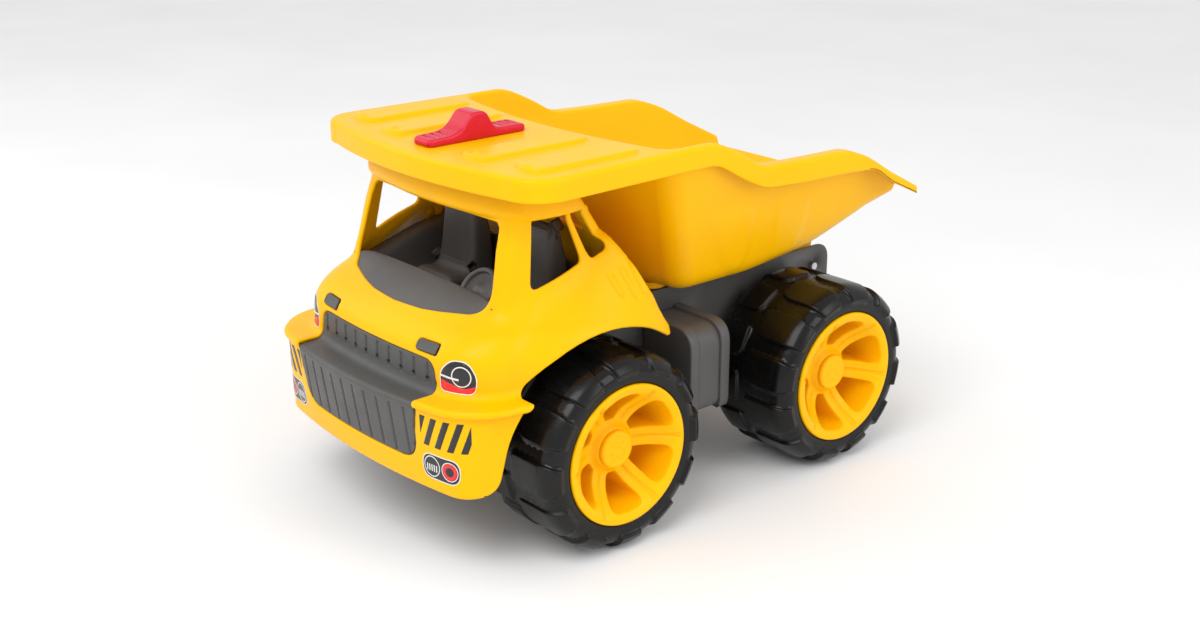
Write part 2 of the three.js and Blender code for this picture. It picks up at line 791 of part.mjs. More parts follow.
function dumpBed() {
  const outerTub = outerLoft(BED_LEVELS).intersect(
    prismX(between(FLOOR_LINE, [[-60, 266], ...RIM_LINE.slice(1)]), -FAR, FAR),
  );
  const high = [
    [-70, 300],
    [TUB_REAR, 300],
  ];
  const lowest = FLOOR_LINE.at(-1);
  const beyond = [TUB_REAR, lowest[1] + WALL + 16];
  const innerFloor = [[-70, FLOOR_LINE[0][1] + WALL], ...raised(FLOOR_LINE.slice(1), WALL), beyond];
  const innerTub = innerLoft(BED_LEVELS, WALL, 0).intersect(
    prismX(between(innerFloor, high), -FAR, FAR),
  );
  const underRim = between(raised(FLANGE_LINE, -12), raised(RIM_LINE, -WALL));
  const rim = without(
    prismX(between(FLANGE_LINE, RIM_LINE), -BED_HALF, BED_HALF),
    prismX(underRim, -BED_HALF + WALL, BED_HALF - WALL),
    box(-FAR, FAR, -FAR, -32, 0, FAR),
  );
  const feet = [-1, 1].map((side) =>
    rodZ(FOOT.radius, CHASSIS_TOP + GAP, FOOT.top, side * FOOT.x, FOOT.y),
  );
  const ribs = RIBS.flatMap(({ x, front, rear }) =>
    [-1, 1].map((side) => canopyRib(side * x, front, rear)),
  );
  const shell = without(unite(canopy(), rim, outerTub, ...feet, ...ribs), innerTub);
  return without(
    unite(shell, pivotLug(-1), pivotLug(1)),
    rodX(PIVOT_RADIUS + BORE_SLACK, -FAR, FAR, PIVOT_Y, PIVOT_Z),
    box(
      -LATCH.half - GAP,
      LATCH.half + GAP,
      LATCH_SLOT.front,
      LATCH_SLOT.rear,
      CANOPY_TOP - 10,
      CANOPY_TOP + 1,
    ),
  );
}

// ---------------------------------------------------------------- bed latch

const GRIP = { half: 10, front: -153, rear: -71, base: CANOPY_TOP + GAP, top: 285 };

// The red slider on the canopy: two ribbed thumb pads with a hump between them
function latchSlider() {
  const { half, front, rear, base, top } = GRIP;
  const pad = base + 5;
  const profile = outline([
    [front, base],
    [front, pad - 1, 2],
    [front + 4, pad],
    [-134, pad],
    [-125, pad + 2.5],
    [-118, top - 3, 2],
    [-115, top, 2],
    [-106, top, 2],
    [-102, top - 4, 3],
    [-98, pad + 2],
    [-91, pad],
    [rear - 4, pad],
    [rear, pad - 1, 2],
    [rear, base],
  ].reverse());
  const slider = unite(
    prismX(profile, -half, half, 3),
    box(
      -LATCH.half,
      LATCH.half,
      LATCH.neckFront,
      LATCH.neckRear,
      CANOPY_TOP - WALL - GAP,
      base + 1,
    ),
  );
  const ribs = [-146, -140, -87, -82, -77].map((y) =>
    box(-half + 3, half - 3, y - 1.3, y + 1.3, pad - 1.5, pad + 1),
  );
  const pilot = screwHole(CANOPY_TOP - 12, CANOPY_TOP + 8, 0, LATCH.y);
  return without(slider, ...ribs, pilot);
}

// The hook under the canopy, which slides forward under the roof's edge to lock the bed
const HOOK = {
  half: 6,
  toeZ: 243.5,
  toeTop: 247,
  toeFront: -119,
  stemFront: -104.5,
  stemRear: -101.5,
  flangeTop: CANOPY_TOP - WALL - 2 * GAP,
  flange: 3,
};

function latchHook() {
  const { flangeTop } = HOOK;
  const flange = box(
    -9,
    9,
    LATCH.neckFront - 6,
    LATCH.neckRear + 6,
    flangeTop - HOOK.flange,
    flangeTop,
  );
  const { half, stemFront, stemRear, toeFront, toeZ, toeTop } = HOOK;
  const stem = box(-half, half, stemFront, stemRear, toeZ, flangeTop - 1);
  const toe = box(-half, half, toeFront, stemRear, toeZ, toeTop);
  const pilot = screwHole(flangeTop - 5, flangeTop + 1, 0, LATCH.y);
  return without(unite(flange, stem, toe), pilot);
}

// ---------------------------------------------------------------- wheels

const TYRE_SIDES = 36;

// A hollow tyre, open towards its rim, with two staggered rows of tread blocks
function tyre() {
  const profile = [
    [RIM_RADIUS + GAP, 134],
    [64, 128],
    [64, 74],
    [RIM_RADIUS + GAP, 67],
    [RIM_RADIUS + GAP, TYRE_INNER_X],
    [64.5, 66],
    [WHEEL_RADIUS - 2, 75],
    [WHEEL_RADIUS, 99],
    [WHEEL_RADIUS, 100],
    [WHEEL_RADIUS, 125],
    [64.5, TYRE_OUTER_X - 2],
    [RIM_RADIUS + GAP, TYRE_OUTER_X],
  ];
  const geometry = turnedX(profile, TYRE_SIDES);
  const place = geometry.attributes.position;
  const perLug = TYRE_SIDES / LUGS;
  for (let i = 0; i < place.count; i += 1) {
    const x = place.getX(i);
    const radius = Math.hypot(place.getY(i), place.getZ(i));
    if (radius < WHEEL_RADIUS - TREAD_DEPTH) continue;
    const turn = Math.atan2(place.getZ(i), place.getY(i)) / (2 * Math.PI);
    const step = Math.round(turn * TYRE_SIDES) + TYRE_SIDES;
    const shift = x > 99.5 ? 0 : 2;
    if ((step + shift) % perLug !== 0) continue;
    const shrink = (radius - TREAD_DEPTH) / radius;
    place.setY(i, place.getY(i) * shrink);
    place.setZ(i, place.getZ(i) * shrink);
  }
  return solid(geometry);
}

const RIM_SIDES = 20;
const RIM_FLOOR_X = 98;
const COUNTERBORE = 9;

function rim() {
  const bore = AXLE_RADIUS + BORE_SLACK;
  const profile = [
    [bore, 90],
    [HUB_RADIUS - 4, 90],
    [HUB_RADIUS - 4, RIM_FLOOR_X - 3],
    [46, RIM_FLOOR_X - 3],
    [47, 68],
    [RIM_RADIUS, 68],
    [RIM_RADIUS, TYRE_OUTER_X - 1],
    [RIM_RADIUS - 0.8, RIM_FACE_X],
    [45.5, RIM_FACE_X],
    [42.5, RIM_FLOOR_X + 2],
    [HUB_RADIUS, RIM_FLOOR_X],
    [HUB_RADIUS - 1, HUB_FACE_X],
    [COUNTERBORE, HUB_FACE_X],
    [COUNTERBORE, 116],
    [bore, 116],
  ];
  const spokeSide = new THREE.Shape([
    new THREE.Vector2(HUB_RADIUS - 3, RIM_FLOOR_X - 1),
    new THREE.Vector2(43.5, RIM_FLOOR_X - 1),
    new THREE.Vector2(45.5, RIM_FACE_X - 1),
    new THREE.Vector2(38, 132),
    new THREE.Vector2(28, 123),
    new THREE.Vector2(HUB_RADIUS - 3, 118),
  ]);
  const halfSpoke = 5.5;
  const spoke = new THREE.ExtrudeGeometry(spokeSide, { depth: 2 * halfSpoke, bevelEnabled: false });
  spoke.translate(0, 0, -halfSpoke);
  // The spoke's outline is (radius, x): turn the radius to Y and the height to X
  const lie = new THREE.Matrix4().makeBasis(
    new THREE.Vector3(0, 1, 0),
    new THREE.Vector3(1, 0, 0),
    new THREE.Vector3(0, 0, -1),
  );
  spoke.applyMatrix4(lie);
  const bodies = [solid(turnedX(profile, RIM_SIDES))];
  for (let i = 0; i < SPOKES; i += 1) {
    bodies.push(solid(spoke.clone().rotateX((i * 2 * Math.PI) / SPOKES)));
  }
  return unite(...bodies);
}

const CAP_SIDES = 16;

// A button with a plug that presses into the hub over the axle's end
function hubCap() {
  const plug = COUNTERBORE - GAP;
  const profile = [
    [0, AXLE_HALF_LENGTH + 1.5],
    [plug, AXLE_HALF_LENGTH + 1.5],
    [plug, HUB_FACE_X + GAP],
    [13.5, HUB_FACE_X + GAP],
    [13.5, HUB_FACE_X + 2],
    [12, HUB_FACE_X + 3.2],
    [0, HUB_FACE_X + 3.8],
  ];
  const points = profile.map(([radius, x]) => new THREE.Vector2(radius, x));
  return solid(new THREE.LatheGeometry(points, CAP_SIDES).rotateZ(-Math.PI / 2));
}

// A spring washer pushed on the axle, which keeps the wheel on
function pushNut() {
  const bore = AXLE_RADIUS + 0.05;
  const profile = [
    [bore, 116.4],
    [7.5, 116.4],
    [7.5, 117.2],
    [bore, 118],
  ];
  return solid(turnedX(profile, ROD_SIDES));
}

const axle = (y) => rodX(AXLE_RADIUS, -AXLE_HALF_LENGTH, AXLE_HALF_LENGTH, y, AXLE_Z);

const pivotRod = () =>
  rodX(PIVOT_RADIUS, -PIVOT_HALF_LENGTH, PIVOT_HALF_LENGTH, PIVOT_Y, PIVOT_Z);

// ---------------------------------------------------------------- assembly

const truck = new THREE.Group();

function place(name, body, finish, parent = truck) {
  const geometry = body.isBufferGeometry ? body : geometryOf(body);
  const material = new THREE.MeshStandardMaterial({ ...finish, flatShading: true });
  const mesh = new THREE.Mesh(geometry, material);
  mesh.name = name;
  parent.add(mesh);
  return mesh;
}

place("chassis_frame", chassisFrame(), GREY);
place("cab_shell", cabShell(), YELLOW);
place("grille", grille(), GREY);
place("dash_panel", dashPanel(), GREY);
place("steering_wheel", steeringWheel(), GREY);
place("interior_tub", interiorTub(), GREY);
place("front_axle", axle(FRONT_AXLE_Y), STEEL);
place("rear_axle", axle(REAR_AXLE_Y), STEEL);
place("bed_pivot_rod", pivotRod(), STEEL);
place("dump_bed", dumpBed(), YELLOW);
place("latch_slider", latchSlider(), RED);
place("latch_hook", latchHook(), RED);

const latchScrew = place("latch_screw", screw(LONG_SCREW), STEEL);
latchScrew.position.set(0, LATCH.y, HOOK.flangeTop - HOOK.flange - GAP);

const SIDES = [
  ["left", 1],
  ["right", -1],
];
for (const [sideName, side] of SIDES) {
  for (const end of ["front", "rear"]) {
    const mount = place(`cab_screw_${end}_${sideName}`, screw(SHORT_SCREW), STEEL);
    mount.position.set(side * MOUNT_SCREWS.x, MOUNT_SCREWS[end], CHASSIS_TOP - WALL - GAP);
  }
  const tankScrew = place(`tank_screw_${sideName}`, screw(SHORT_SCREW), STEEL);
  tankScrew.position.set(side * (CHASSIS_HALF - WALL - GAP), TANK_SCREW_Y, TANK_SCREW_Z);
  tankScrew.rotation.y = (side * Math.PI) / 2;
  place(`marker_lamp_${sideName}`, markerLamp(side), GREY);
  place(`seat_${sideName}`, seat(side), GREY);
  place(`side_tank_${sideName}`, sideTank(side), GREY);
}

const WHEELS = [
  ["front", FRONT_AXLE_Y],
  ["rear", REAR_AXLE_Y],
];
const wheelPieces = {
  tyre: [tyre(), BLACK],
  rim: [rim(), YELLOW],
  hub_cap: [hubCap(), YELLOW],
  push_nut: [pushNut(), STEEL],
};
for (const [end, y] of WHEELS) {
  for (const [sideName, side] of SIDES) {
    const wheel = new THREE.Group();
    wheel.position.set(0, y, AXLE_Z);
    // The right-hand wheels face the other way: a half turn about the vertical
    wheel.rotation.z = side > 0 ? 0 : Math.PI;
    truck.add(wheel);
    for (const [piece, [body, finish]] of Object.entries(wheelPieces)) {
      place(`${piece}_${end}_${sideName}`, body, finish, wheel);
    }
  }
}

export default truck;
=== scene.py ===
"""Moulded toy dump truck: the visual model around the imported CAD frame."""

import json
import math

import bpy
import numpy as np
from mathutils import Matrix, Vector
from mathutils.geometry import delaunay_2d_cdt


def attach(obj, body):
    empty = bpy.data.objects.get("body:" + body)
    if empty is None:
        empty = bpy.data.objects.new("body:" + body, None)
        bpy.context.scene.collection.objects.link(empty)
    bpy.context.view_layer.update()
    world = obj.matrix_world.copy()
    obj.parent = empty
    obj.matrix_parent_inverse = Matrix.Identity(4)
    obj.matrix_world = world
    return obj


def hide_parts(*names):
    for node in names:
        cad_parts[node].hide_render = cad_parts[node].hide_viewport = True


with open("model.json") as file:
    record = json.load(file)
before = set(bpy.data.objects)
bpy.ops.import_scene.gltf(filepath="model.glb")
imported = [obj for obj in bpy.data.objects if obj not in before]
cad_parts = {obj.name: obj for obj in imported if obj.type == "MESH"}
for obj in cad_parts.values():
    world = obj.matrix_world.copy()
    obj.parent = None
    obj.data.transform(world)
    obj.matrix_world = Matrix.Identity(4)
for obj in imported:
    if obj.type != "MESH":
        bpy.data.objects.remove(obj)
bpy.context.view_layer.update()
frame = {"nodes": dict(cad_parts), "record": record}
MM = 0.001
SIDES = (("left", 1), ("right", -1))


# ------------------------------------------------------------------ materials


def new_material(name):
    material = bpy.data.materials.new(name)
    material.use_nodes = True
    tree = material.node_tree
    shader = tree.nodes["Principled BSDF"]
    return material, tree, shader


def link(tree, a, b):
    tree.links.new(a, b)


def noise(tree, scale, detail=2.0):
    """A noise texture in object space, with its scale in features per metre."""
    coords = tree.nodes.new("ShaderNodeTexCoord")
    texture = tree.nodes.new("ShaderNodeTexNoise")
    texture.inputs["Scale"].default_value = scale
    texture.inputs["Detail"].default_value = detail
    texture.inputs["Roughness"].default_value = 0.5
    link(tree, coords.outputs["Object"], texture.inputs["Vector"])
    return texture


def ramp(tree, factor, stops):
    node = tree.nodes.new("ShaderNodeValToRGB")
    elements = node.color_ramp.elements
    while len(elements) < len(stops):
        elements.new(0.5)
    for element, (position, colour) in zip(elements, stops):
        element.position = position
        element.color = (*colour, 1.0) if len(colour) == 3 else colour
    link(tree, factor, node.inputs["Fac"])
    return node.outputs["Color"]


def relief(tree, shader, texture, strength, distance):
    """Lets a texture raise and sink the shaded surface a little."""
    bumps = tree.nodes.new("ShaderNodeBump")
    bumps.inputs["Strength"].default_value = strength
    bumps.inputs["Distance"].default_value = distance
    link(tree, texture.outputs["Fac"], bumps.inputs["Height"])
    link(tree, bumps.outputs["Normal"], shader.inputs["Normal"])


def moulded(name, dark, light, rough, bump, bump_scale, gleam=0.5):
    """Moulded plastic: a slow change of tone, a faint orange peel and uneven gloss."""
    material, tree, shader = new_material(name)
    tone = noise(tree, 9.0, 2.0)
    link(tree, ramp(tree, tone.outputs["Fac"], [(0.3, dark), (0.7, light)]), shader.inputs["Base Color"])
    gloss = noise(tree, 60.0, 3.0)
    low, high = rough
    shine = tree.nodes.new("ShaderNodeMapRange")
    shine.inputs["From Min"].default_value = 0.3
    shine.inputs["From Max"].default_value = 0.7
    shine.inputs["To Min"].default_value = low
    shine.inputs["To Max"].default_value = high
    link(tree, gloss.outputs["Fac"], shine.inputs["Value"])
    link(tree, shine.outputs["Result"], shader.inputs["Roughness"])
    relief(tree, shader, noise(tree, bump_scale, 2.0), bump, 0.0002)
    shader.inputs["Specular IOR Level"].default_value = gleam
    return material


YELLOW = moulded("yellow_moulded", (0.92, 0.465, 0.0), (0.97, 0.505, 0.001), (0.27, 0.36), 0.1, 700.0, 0.12)
GREY = moulded("grey_moulded", (0.06, 0.059, 0.058), (0.08, 0.079, 0.077), (0.4, 0.52), 0.3, 1500.0)
RED = moulded("red_moulded", (0.58, 0.005, 0.03), (0.66, 0.008, 0.042), (0.22, 0.3), 0.1, 700.0, 0.35)
TYRE_DARK, TYRE_LIGHT = (0.003, 0.003, 0.003), (0.006, 0.0058, 0.0055)
TYRE = moulded("black_moulded", TYRE_DARK, TYRE_LIGHT, (0.18, 0.3), 0.12, 500.0, 0.28)


def brushed_steel():
    material, tree, shader = new_material("drawn_steel")
    shader.inputs["Metallic"].default_value = 1.0
    lines = noise(tree, 400.0, 4.0)
    stops = [(0.3, (0.42, 0.43, 0.45)), (0.7, (0.6, 0.61, 0.63))]
    link(tree, ramp(tree, lines.outputs["Fac"], stops), shader.inputs["Base Color"])
    shader.inputs["Roughness"].default_value = 0.32
    relief(tree, shader, lines, 0.3, 0.0001)
    return material


STEEL = brushed_steel()
SLOT_MATERIAL = {
    "yellow_plastic": YELLOW,
    "grey_plastic": GREY,
    "red_plastic": RED,
    "black_plastic": TYRE,
    "steel": STEEL,
}
for part in frame["record"]["subparts"]:
    materials = frame["nodes"][part["node"]].data.materials
    materials.clear()
    materials.append(SLOT_MATERIAL[part["material_slot"]])

# ------------------------------------------------------------------ floor, light and camera


def floor():
    size = 6.0
    depth = 3.0
    mesh = bpy.data.meshes.new("floor")
    corners = [(-size, -depth, 0), (size, -depth, 0), (size, depth * 2, 0), (-size, depth * 2, 0)]
    mesh.from_pydata(corners, [], [(0, 1, 2, 3)])
    ground = bpy.data.objects.new("floor", mesh)
    bpy.context.scene.collection.objects.link(ground)
    material, tree, shader = new_material("pale_floor")
    grain = noise(tree, 3.0, 2.0)
    stops = [(0.3, (0.86, 0.86, 0.86)), (0.7, (0.9, 0.9, 0.9))]
    link(tree, ramp(tree, grain.outputs["Fac"], stops), shader.inputs["Base Color"])
    shader.inputs["Roughness"].default_value = 0.9
    mesh.materials.append(material)


def area_light(name, place, aim, size, power):
    data = bpy.data.lights.new(name, "AREA")
    data.shape = "RECTANGLE"
    data.size, data.size_y = size
    data.energy = power
    lamp = bpy.data.objects.new(name, data)
    lamp.location = place
    lamp.rotation_mode = "QUATERNION"
    lamp.rotation_quaternion = (Vector(aim) - Vector(place)).to_track_quat("-Z", "Y")
    bpy.context.scene.collection.objects.link(lamp)


def studio():
    world = bpy.data.worlds.new("studio")
    world.use_nodes = True
    background = world.node_tree.nodes["Background"]
    background.inputs["Color"].default_value = (1.0, 1.0, 1.0, 1.0)
    background.inputs["Strength"].default_value = 0.85
    bpy.context.scene.world = world
    centre = (0.0, 0.0, 0.12)
    area_light("key_light", (0.5, -1.1, 1.5), centre, (1.0, 1.0), 14.0)
    area_light("side_light", (1.5, 0.5, 0.9), centre, (0.8, 1.2), 7.5)
    area_light("fill_light", (-1.3, -0.9, 1.0), centre, (1.2, 1.2), 5.0)
    bpy.context.scene.view_settings.view_transform = "Standard"


CAMERA_PLACE = (0.8575, -0.7276, 0.5140)
CAMERA_AZIMUTH = 49.53
CAMERA_ELEVATION = 19.71
CAMERA_LENS = 47.3


def camera():
    data = bpy.data.cameras.new("camera")
    data.sensor_width = 36.0
    data.lens = CAMERA_LENS
    eye = bpy.data.objects.new("camera", data)
    azimuth, elevation = math.radians(CAMERA_AZIMUTH), math.radians(CAMERA_ELEVATION)
    back = Vector(
        (
            math.sin(azimuth) * math.cos(elevation),
            -math.cos(azimuth) * math.cos(elevation),
            math.sin(elevation),
        )
    )
    eye.location = CAMERA_PLACE
    eye.rotation_mode = "QUATERNION"
    eye.rotation_quaternion = (-back).to_track_quat("-Z", "Y")
    bpy.context.scene.collection.objects.link(eye)
    bpy.context.scene.camera = eye


floor()
studio()
camera()


# ------------------------------------------------------------------ mesh tools


def vertex_normals(verts, tris):
    faces = np.cross(verts[tris[:, 1]] - verts[tris[:, 0]], verts[tris[:, 2]] - verts[tris[:, 0]])
    normals = np.zeros_like(verts)
    for corner in range(3):
        np.add.at(normals, tris[:, corner], faces)
    return normals / np.maximum(np.linalg.norm(normals, axis=1, keepdims=True), 1e-12)


def weld(verts, tris, tolerance=2e-3):
    """Merges vertices that share a place, and drops triangles that vanish."""
    keys = np.round(verts / tolerance).astype(np.int64)
    _keys, first, inverse = np.unique(keys, axis=0, return_index=True, return_inverse=True)
    tris = inverse.reshape(-1)[tris]
    whole = (tris[:, 0] != tris[:, 1]) & (tris[:, 1] != tris[:, 2]) & (tris[:, 0] != tris[:, 2])
    return verts[first], tris[whole]


def other_side(verts, faces):
    """A closed piece as its mirror image, for the right side."""
    return verts * np.array([-1.0, 1.0, 1.0]), [face[::-1] for face in faces]


def mirrored(verts, tris):
    """The half at x > 0 with its mirror image, joined on x = 0."""
    other = verts * np.array([-1.0, 1.0, 1.0])
    both = np.vstack([verts, other])
    return weld(both, np.vstack([tris, tris[:, ::-1] + len(verts)]))


def boundary_edges(tris):
    """Directed edges that only one triangle uses."""
    edges = np.vstack([tris[:, [0, 1]], tris[:, [1, 2]], tris[:, [2, 0]]])
    span = int(edges.max()) + 1
    forward = edges[:, 0].astype(np.int64) * span + edges[:, 1]
    backward = edges[:, 1].astype(np.int64) * span + edges[:, 0]
    return edges[~np.isin(forward, backward)]


def thick_sheet(verts, tris, thick, rim_steps=5, bulge=1.1):
    """Gives a sheet a wall below it, with a half-round rim along every free edge."""
    normals = vertex_normals(verts, tris)
    thick = np.broadcast_to(np.asarray(thick, float), (len(verts),))[:, None]
    edges = boundary_edges(tris)
    rim = np.unique(edges)
    outward = np.zeros_like(verts)
    along = verts[edges[:, 1]] - verts[edges[:, 0]]
    along /= np.maximum(np.linalg.norm(along, axis=1, keepdims=True), 1e-12)
    side = np.cross(along, normals[edges[:, 0]] + normals[edges[:, 1]])
    np.add.at(outward, edges[:, 0], side)
    np.add.at(outward, edges[:, 1], side)
    outward -= normals * np.sum(outward * normals, axis=1, keepdims=True)
    outward /= np.maximum(np.linalg.norm(outward, axis=1, keepdims=True), 1e-12)
    top = verts.copy()
    reach = np.minimum(bulge, thick[rim] / 2)
    top[rim] -= outward[rim] * reach
    low = top - normals * thick
    count = len(verts)
    layers = [top, low]
    spot = {int(v): i for i, v in enumerate(rim)}
    ids = [rim]
    middle = top[rim] - normals[rim] * thick[rim] / 2
    for step in range(1, rim_steps):
        angle = math.pi * step / rim_steps
        ring = middle + normals[rim] * thick[rim] / 2 * math.cos(angle)
        ring += outward[rim] * reach * math.sin(angle)
        ids.append(np.arange(len(rim)) + sum(len(layer) for layer in layers))
        layers.append(ring)
    ids.append(rim + count)
    at = np.array([[spot[int(a)], spot[int(b)]] for a, b in edges])
    faces = [list(t) for t in tris.tolist()]
    faces += [list(t) for t in (tris[:, ::-1] + count).tolist()]
    for step in range(rim_steps):
        upper, lower = ids[step], ids[step + 1]
        a, b = at[:, 0], at[:, 1]
        faces += np.stack([upper[b], upper[a], lower[a], lower[b]], axis=1).tolist()
    return np.vstack(layers), faces


def add_piece(name, verts, faces, material, body, slot=None, stands_for=()):
    """A mesh in millimetres as a piece that rides on a body."""
    mesh = bpy.data.meshes.new(name)
    faces = faces if isinstance(faces, list) else faces.tolist()
    mesh.from_pydata((np.asarray(verts) * MM).tolist(), [], faces)
    mesh.validate()
    mesh.shade_smooth()
    mesh.materials.append(material)
    piece = bpy.data.objects.new(name, mesh)
    bpy.context.scene.collection.objects.link(piece)
    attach(piece, body)
    if stands_for:
        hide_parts(*stands_for)


def bands(start, count, rows):
    """Triangles between rings of `count` points that follow each other from index `start`."""
    i = np.arange(count)
    faces = []
    for row in range(rows - 1):
        a, b = start + row * count + i, start + row * count + (i + 1) % count
        faces += [np.stack([a, b, a + count], 1), np.stack([b, b + count, a + count], 1)]
    return faces


def closed(loop):
    """A loop as an open line that ends where it starts."""
    return np.vstack([loop, loop[:1]])


def round_loop(u, v, r, steps=48, squash=1.0):
    a = math.tau * np.arange(steps) / steps
    return np.stack([u + r * np.cos(a), v + r * squash * np.sin(a)], axis=1)


def inside(points, polygon):
    """Even-odd test of many points against a closed polygon."""
    x, y = points[:, 0], points[:, 1]
    hit = np.zeros(len(points), bool)
    a = np.asarray(polygon)
    b = np.roll(a, -1, axis=0)
    for (ax, ay), (bx, by) in zip(a, b):
        if ay == by:
            continue
        crosses = (ay > y) != (by > y)
        hit ^= crosses & (x < (bx - ax) * (y - ay) / (by - ay) + ax)
    return hit


def distance_to(points, polygon, closed=True):
    a = np.asarray(polygon, float)
    b = np.roll(a, -1, axis=0) if closed else a[1:]
    a = a if closed else a[:-1]
    best = np.full(len(points), 1e9)
    for start, end in zip(a, b):
        d = end - start
        t = np.clip(((points - start) @ d) / max(d @ d, 1e-12), 0, 1)
        best = np.minimum(best, np.linalg.norm(points - start - t[:, None] * d, axis=1))
    return best


def resampled(line, step, closed=True):
    """Points along a polyline, keeping its corners, no further apart than step."""
    line = [np.asarray(p, float) for p in line]
    ends = line[1:] + ([line[0]] if closed else [])
    out = []
    for a, b in zip(line, ends):
        n = max(1, int(math.ceil(np.linalg.norm(b - a) / step)))
        out += [a + (b - a) * i / n for i in range(n)]
    if not closed:
        out.append(line[-1])
    return np.array(out)


def rounded(corners, steps=6):
    """A closed outline from [u, v, radius] corners."""
    out = []
    count = len(corners)
    for i, corner in enumerate(corners):
        here = np.array(corner[:2], float)
        radius = corner[2] if len(corner) > 2 else 0.0
        if not radius:
            out.append(here)
            continue
        before = np.array(corners[i - 1][:2], float) - here
        after = np.array(corners[(i + 1) % count][:2], float) - here
        start = here + before / np.linalg.norm(before) * radius
        end = here + after / np.linalg.norm(after) * radius
        for k in range(steps + 1):
            t = k / steps
            out.append((1 - t) ** 2 * start + 2 * t * (1 - t) * here + t * t * end)
    return np.array(out)


def filled(outer, holes=(), grid=3.0, clear=1.6, extra=(), lines=()):
    """Points and triangles of a flat region with holes, through extra points and along lines."""
    outer = np.asarray(outer, float)
    loops = [outer] + [np.asarray(h, float) for h in holes]
    low, high = outer.min(0), outer.max(0)
    xs = np.arange(low[0] + grid / 2, high[0], grid)
    ys = np.arange(low[1] + grid / 2, high[1], grid * 0.866)
    gx, gy = np.meshgrid(xs, ys)
    gx = gx + (np.arange(len(ys)) % 2)[:, None] * grid / 2
    points = np.stack([gx.ravel(), gy.ravel()], axis=1)
    extra = np.asarray(extra, float).reshape(-1, 2)
    lines = [np.asarray(line, float) for line in lines]
    if len(extra):
        keep = np.ones(len(points), bool)
        cell = {}
        for p in extra:
            cell.setdefault((int(p[0] // grid), int(p[1] // grid)), []).append(p)
        for i, p in enumerate(points):
            kx, ky = int(p[0] // grid), int(p[1] // grid)
            for dx in (-1, 0, 1):
                for dy in (-1, 0, 1):
                    for q in cell.get((kx + dx, ky + dy), ()):
                        if (p[0] - q[0]) ** 2 + (p[1] - q[1]) ** 2 < (0.6 * grid) ** 2:
                            keep[i] = False
        points = np.vstack([points[keep], extra])
    ok = inside(points, outer)
    for hole in loops[1:]:
        ok &= ~inside(points, hole)
    for loop in loops:
        ok &= distance_to(points, loop) > clear
    for line in lines:
        ok &= distance_to(points, line, closed=False) > clear * 0.6
    points = points[ok]
    verts = [Vector(p) for p in np.vstack(loops + lines).tolist()]
    edges = []
    start = 0
    for loop in loops:
        n = len(loop)
        edges += [(start + i, start + (i + 1) % n) for i in range(n)]
        start += n
    for line in lines:
        edges += [(start + i, start + i + 1) for i in range(len(line) - 1)]
        start += len(line)
    verts += [Vector(p) for p in points.tolist()]
    made = delaunay_2d_cdt(verts, edges, [], 0, 1e-5)
    out = np.array([tuple(p) for p in made[0]])
    tris = np.array([f for f in made[2] if len(f) == 3])
    middle = out[tris].mean(axis=1)
    ok = inside(middle, outer)
    for hole in loops[1:]:
        ok &= ~inside(middle, hole)
    return out, tris[ok]


def smooth_curve(knots, values, at):
    """Monotone cubic interpolation of values over rising knots."""
    x, y = np.asarray(knots, float), np.asarray(values, float)
    h = np.diff(x)
    d = np.diff(y) / h
    m = np.zeros(len(x))
    m[0], m[-1] = d[0], d[-1]
    for i in range(1, len(x) - 1):
        if d[i - 1] * d[i] > 0:
            before, after = 2 * h[i] + h[i - 1], h[i] + 2 * h[i - 1]
            m[i] = (before + after) / (before / d[i - 1] + after / d[i])
    at = np.clip(np.asarray(at, float), x[0], x[-1])
    k = np.clip(np.searchsorted(x, at, side="right") - 1, 0, len(x) - 2)
    t = (at - x[k]) / h[k]
    a = (2 * t**3 - 3 * t**2 + 1) * y[k]
    b = (t**3 - 2 * t**2 + t) * h[k] * m[k]
    c = (-2 * t**3 + 3 * t**2) * y[k + 1]
    e = (t**3 - t**2) * h[k] * m[k + 1]
    return a + b + c + e


# ------------------------------------------------------------------ cab surface

# Each level is height, front, bow, half width in front and at the rear, corner width and length, rear
BODY_LEVELS = [
    (112, -200, 5, 110, 120, 40, 40, -27),
    (142, -199, 4, 109, 120, 40, 40, -31),
    (150, -197, 5, 108, 120, 40, 40, -36),
    (158, -189.5, 6, 106, 118.5, 38, 38, -40),
    (166, -177, 8, 102, 117, 34, 34, -43),
    (176, -163, 9, 97, 114, 30, 30, -48),
    (188, -146, 9, 91, 110, 26, 26, -54),
    (200, -130, 8, 86, 104, 22, 22, -61),
    (210, -116, 6, 81, 96, 18, 18, -67),
    (214, -110, 6, 77, 89, 16, 16, -69),
    (222, -104, 6, 62, 70, 14, 14, -80),
    (260, -104, 6, 40, 40, 14, 14, -100),
]
GREENHOUSE_LEVELS = [
    (112, -180, 14, 80, 80, 12, 12, -50),
    (140, -184, 14, 88, 88, 12, 12, -42),
    (150, -186, 14, 92, 92, 12, 12, -36),
    (166, -176, 14, 91.5, 91.5, 12, 12, -43),
    (178, -170, 12.5, 90.5, 90.5, 12, 12, -49),
    (228, -146, 3, 86.5, 86.5, 12, 12, -78),
    (240, -141, 3, 85.5, 85.5, 12, 12, -86),
    (260, -141, 3, 85.5, 85.5, 12, 12, -86),
]
ROOF_LEVELS = [
    (229, -152, 9, 89, 87, 16, 16, -79),
    (234, -155, 9, 90, 88, 16, 16, -82),
    (246, -153, 9, 89, 88, 16, 16, -89),
    (252, -146, 8, 83, 83, 14, 14, -88),
]
SKIRT_LEVELS = [
    (60, -213, 8, 111.5, 111.5, 16, 16, -60),
    (117, -219.5, 8.5, 118, 118, 36, 36, -60),
]
SHELF = (-221.5, 13.5, 126, 126, 34, 40, -60)
SHELF_LOW, SHELF_TOP = 117.0, 122.5
CAB_CENTRE_Y = -115.0
COLUMNS = 541
